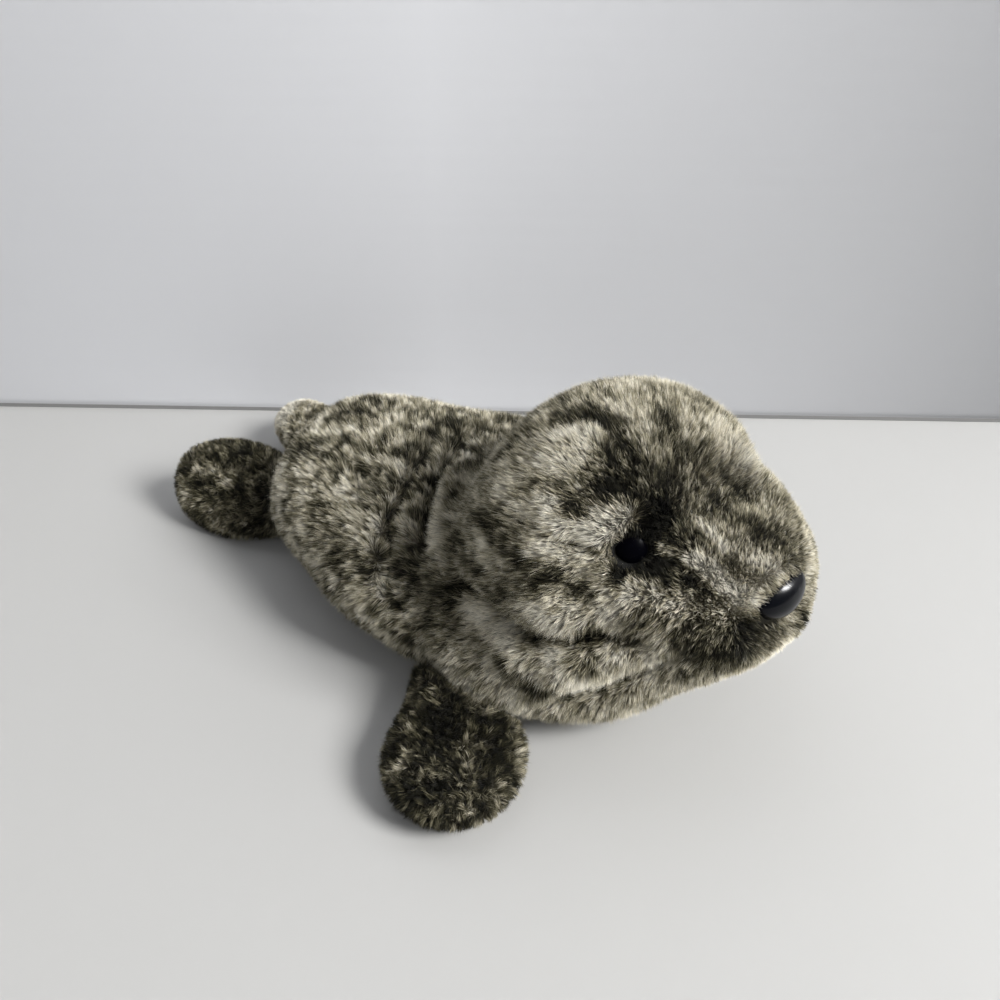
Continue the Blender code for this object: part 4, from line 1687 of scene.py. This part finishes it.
@dataclass
class Studio:
    """The camera of the photograph, the pale floor and wall, and the soft light."""

    eye: Point = (-0.2433, -0.1666, 0.2450)
    heading: float = 32.0
    pitch: float = 35.3
    sensor: float = 36.0
    focal_share: float = 0.95
    reach: float = 3.0
    board_roughness: float = 0.7
    bump_depth: float = 0.002
    floor_colour: Point = (0.575, 0.575, 0.568)
    floor_grain: float = 60.0
    floor_detail: float = 2.0
    floor_bump: float = 0.03
    wall_colour: Point = (0.67, 0.68, 0.71)
    wall_middle: float = 0.45
    # Painted light and shade: the wall's colour is raised near its middle and lowered towards its
    # far end.
    wall_middle_painted_light: float = 1.17
    wall_far_painted_shade: float = 0.52
    wall_near: tuple[float, float] = (-0.0151, 0.2824)
    wall_far: tuple[float, float] = (0.2428, -0.1610)
    rib: float = 0.0078
    rib_waver: float = 1.5
    rib_bump: float = 0.02
    joint: float = 0.0022
    joint_step: float = -0.0016
    joint_start: float = 0.1
    joint_colour: Point = (0.26, 0.26, 0.26)
    sky_colour: Point = (0.97, 0.98, 1.0)
    sky_strength: float = 0.18
    lamps: tuple[Lamp, ...] = (
        Lamp("window", (0.080, -1.940, 1.520), 0.9, 76.0, (1.0, 0.99, 0.97)),
        Lamp("room", (-1.700, -1.060, 1.500), 1.6, 4.0),
        Lamp("glint", (0.730, -0.966, 0.900), 0.42, 60.0, glint=True),
    )

    def camera(self) -> None:
        """Stands the camera where the photograph was taken from."""
        lens = bpy.data.cameras.new("camera")
        lens.sensor_width = self.sensor
        lens.lens = self.sensor * self.focal_share
        camera = new_object("camera", lens)
        turn = math.radians(self.heading)
        drop = math.radians(self.pitch)
        ahead = Vector((
            math.cos(drop) * math.cos(turn), math.cos(drop) * math.sin(turn), -math.sin(drop)
        ))
        right = Vector((math.sin(turn), -math.cos(turn), 0.0))
        axes = Matrix((right, right.cross(ahead), -ahead)).transposed()
        camera.matrix_world = Matrix.Translation(self.eye) @ axes.to_4x4()
        lens.clip_start = 0.01
        bpy.context.scene.camera = camera

    def ribbed(
        self, tree: bpy.types.NodeTree, shader: bpy.types.Node, colour: Point
    ) -> Socket:
        """Gives the wall its painted light and shade from end to end, lighter near the middle and
        darker towards the far end, and its ribs.

        Args:
            tree: The material's tree.
            shader: The wall's shader.
            colour: The wall's colour.

        Returns:
            The height of the ribs.
        """
        place = fitted(tree, "ShaderNodeTexCoord").outputs["Object"]
        split = fitted(tree, "ShaderNodeSeparateXYZ", {0: place})
        along = fitted(tree, "ShaderNodeMapRange", {
            "From Min": self.wall_near[0], "From Max": self.wall_far[0],
            "Value": split.outputs["X"],
        })
        # Painted light and shade along the wall, by a ramp on its own coordinates.
        middle = (*(self.wall_middle_painted_light * share for share in colour), 1.0)
        far = (*(self.wall_far_painted_shade * share for share in colour), 1.0)
        stops = [(0.0, (*colour, 1.0)), (self.wall_middle, middle), (1.0, far)]
        fill(tree, shader, {"Base Color": ramped(tree, along.outputs["Result"], stops)})
        scale = math.pi / (10.0 * self.rib)
        inputs = {"Scale": scale, "Distortion": self.rib_waver, "Vector": place}
        return fitted(tree, "ShaderNodeTexWave", inputs, bands_direction="Z").outputs["Fac"]

    def board(self, name: str, corners: list[Point], colour: Point, ribs: bool) -> None:
        """Makes the floor, the wall or the joint between them.

        Args:
            name: The board's name.
            corners: Its four corners.
            colour: Its colour.
            ribs: Whether it has the wall's ribs.
        """
        mesh = bpy.data.meshes.new(name)
        mesh.from_pydata(corners, [], [(0, 1, 2, 3)])
        material, tree, shader = plain_material(name)
        fill(tree, shader, {"Base Color": (*colour, 1.0), "Roughness": self.board_roughness})
        if ribs:
            height, bump = self.ribbed(tree, shader, colour), self.rib_bump
        else:
            height, bump = grained(tree, self.floor_grain, self.floor_detail), self.floor_bump
        add_bump(tree, shader, height, bump, self.bump_depth)
        mesh.materials.append(material)
        new_object(name, mesh)

    def light(self) -> None:
        """Hangs the lamps, with a pale sky all round."""
        world = bpy.data.worlds.new("sky")
        bpy.context.scene.world = world
        world.use_nodes = True
        fill(world.node_tree, world.node_tree.nodes["Background"], {
            "Color": (*self.sky_colour, 1.0), "Strength": self.sky_strength,
        })
        for lamp in self.lamps:
            lamp.hang()

    def build(self) -> None:
        """Sets up the camera, the floor, the wall and the light."""
        self.camera()
        out = self.reach
        floor = [(-out, -out, 0), (out, -out, 0), (out, out, 0), (-out, out, 0)]
        self.board("floor", floor, self.floor_colour, False)
        near, far = Vector(self.wall_near), Vector(self.wall_far)
        run = (far - near).normalized() * out
        ends = near - run, far + run
        wall = [(*ends[0], 0), (*ends[1], 0), (*ends[1], out), (*ends[0], out)]
        self.board("wall", wall, self.wall_colour, True)
        step = Vector((-run.y, run.x)).normalized() * self.joint_step
        foot = [Vector((*end, 0.0)) + Vector((*step, 0.0)) for end in ends]
        lift = Vector((0.0, 0.0, self.joint))
        start = lift * self.joint_start
        strip = [foot[0] + start, foot[1] + start, foot[1] + lift, foot[0] + lift]
        self.board("joint", [tuple(corner) for corner in strip], self.joint_colour, False)
        self.light()
        bpy.context.scene.view_settings.view_transform = "Standard"


def main() -> None:
    """Builds the seal's looks in order, and reports each piece."""
    logging.basicConfig(level=logging.INFO, format="%(message)s")
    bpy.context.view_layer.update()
    Studio().build()
    made = Body().build() + Buttons().build()
    Inside().dress()
    total = 0
    for piece in made:
        triangles = sum(len(face.vertices) - 2 for face in piece.data.polygons)
        total += triangles
        log.info("%s: %d triangles", piece.name, triangles)
    log.info("all pieces: %d triangles", total)


if __name__ == "__main__":
    main()
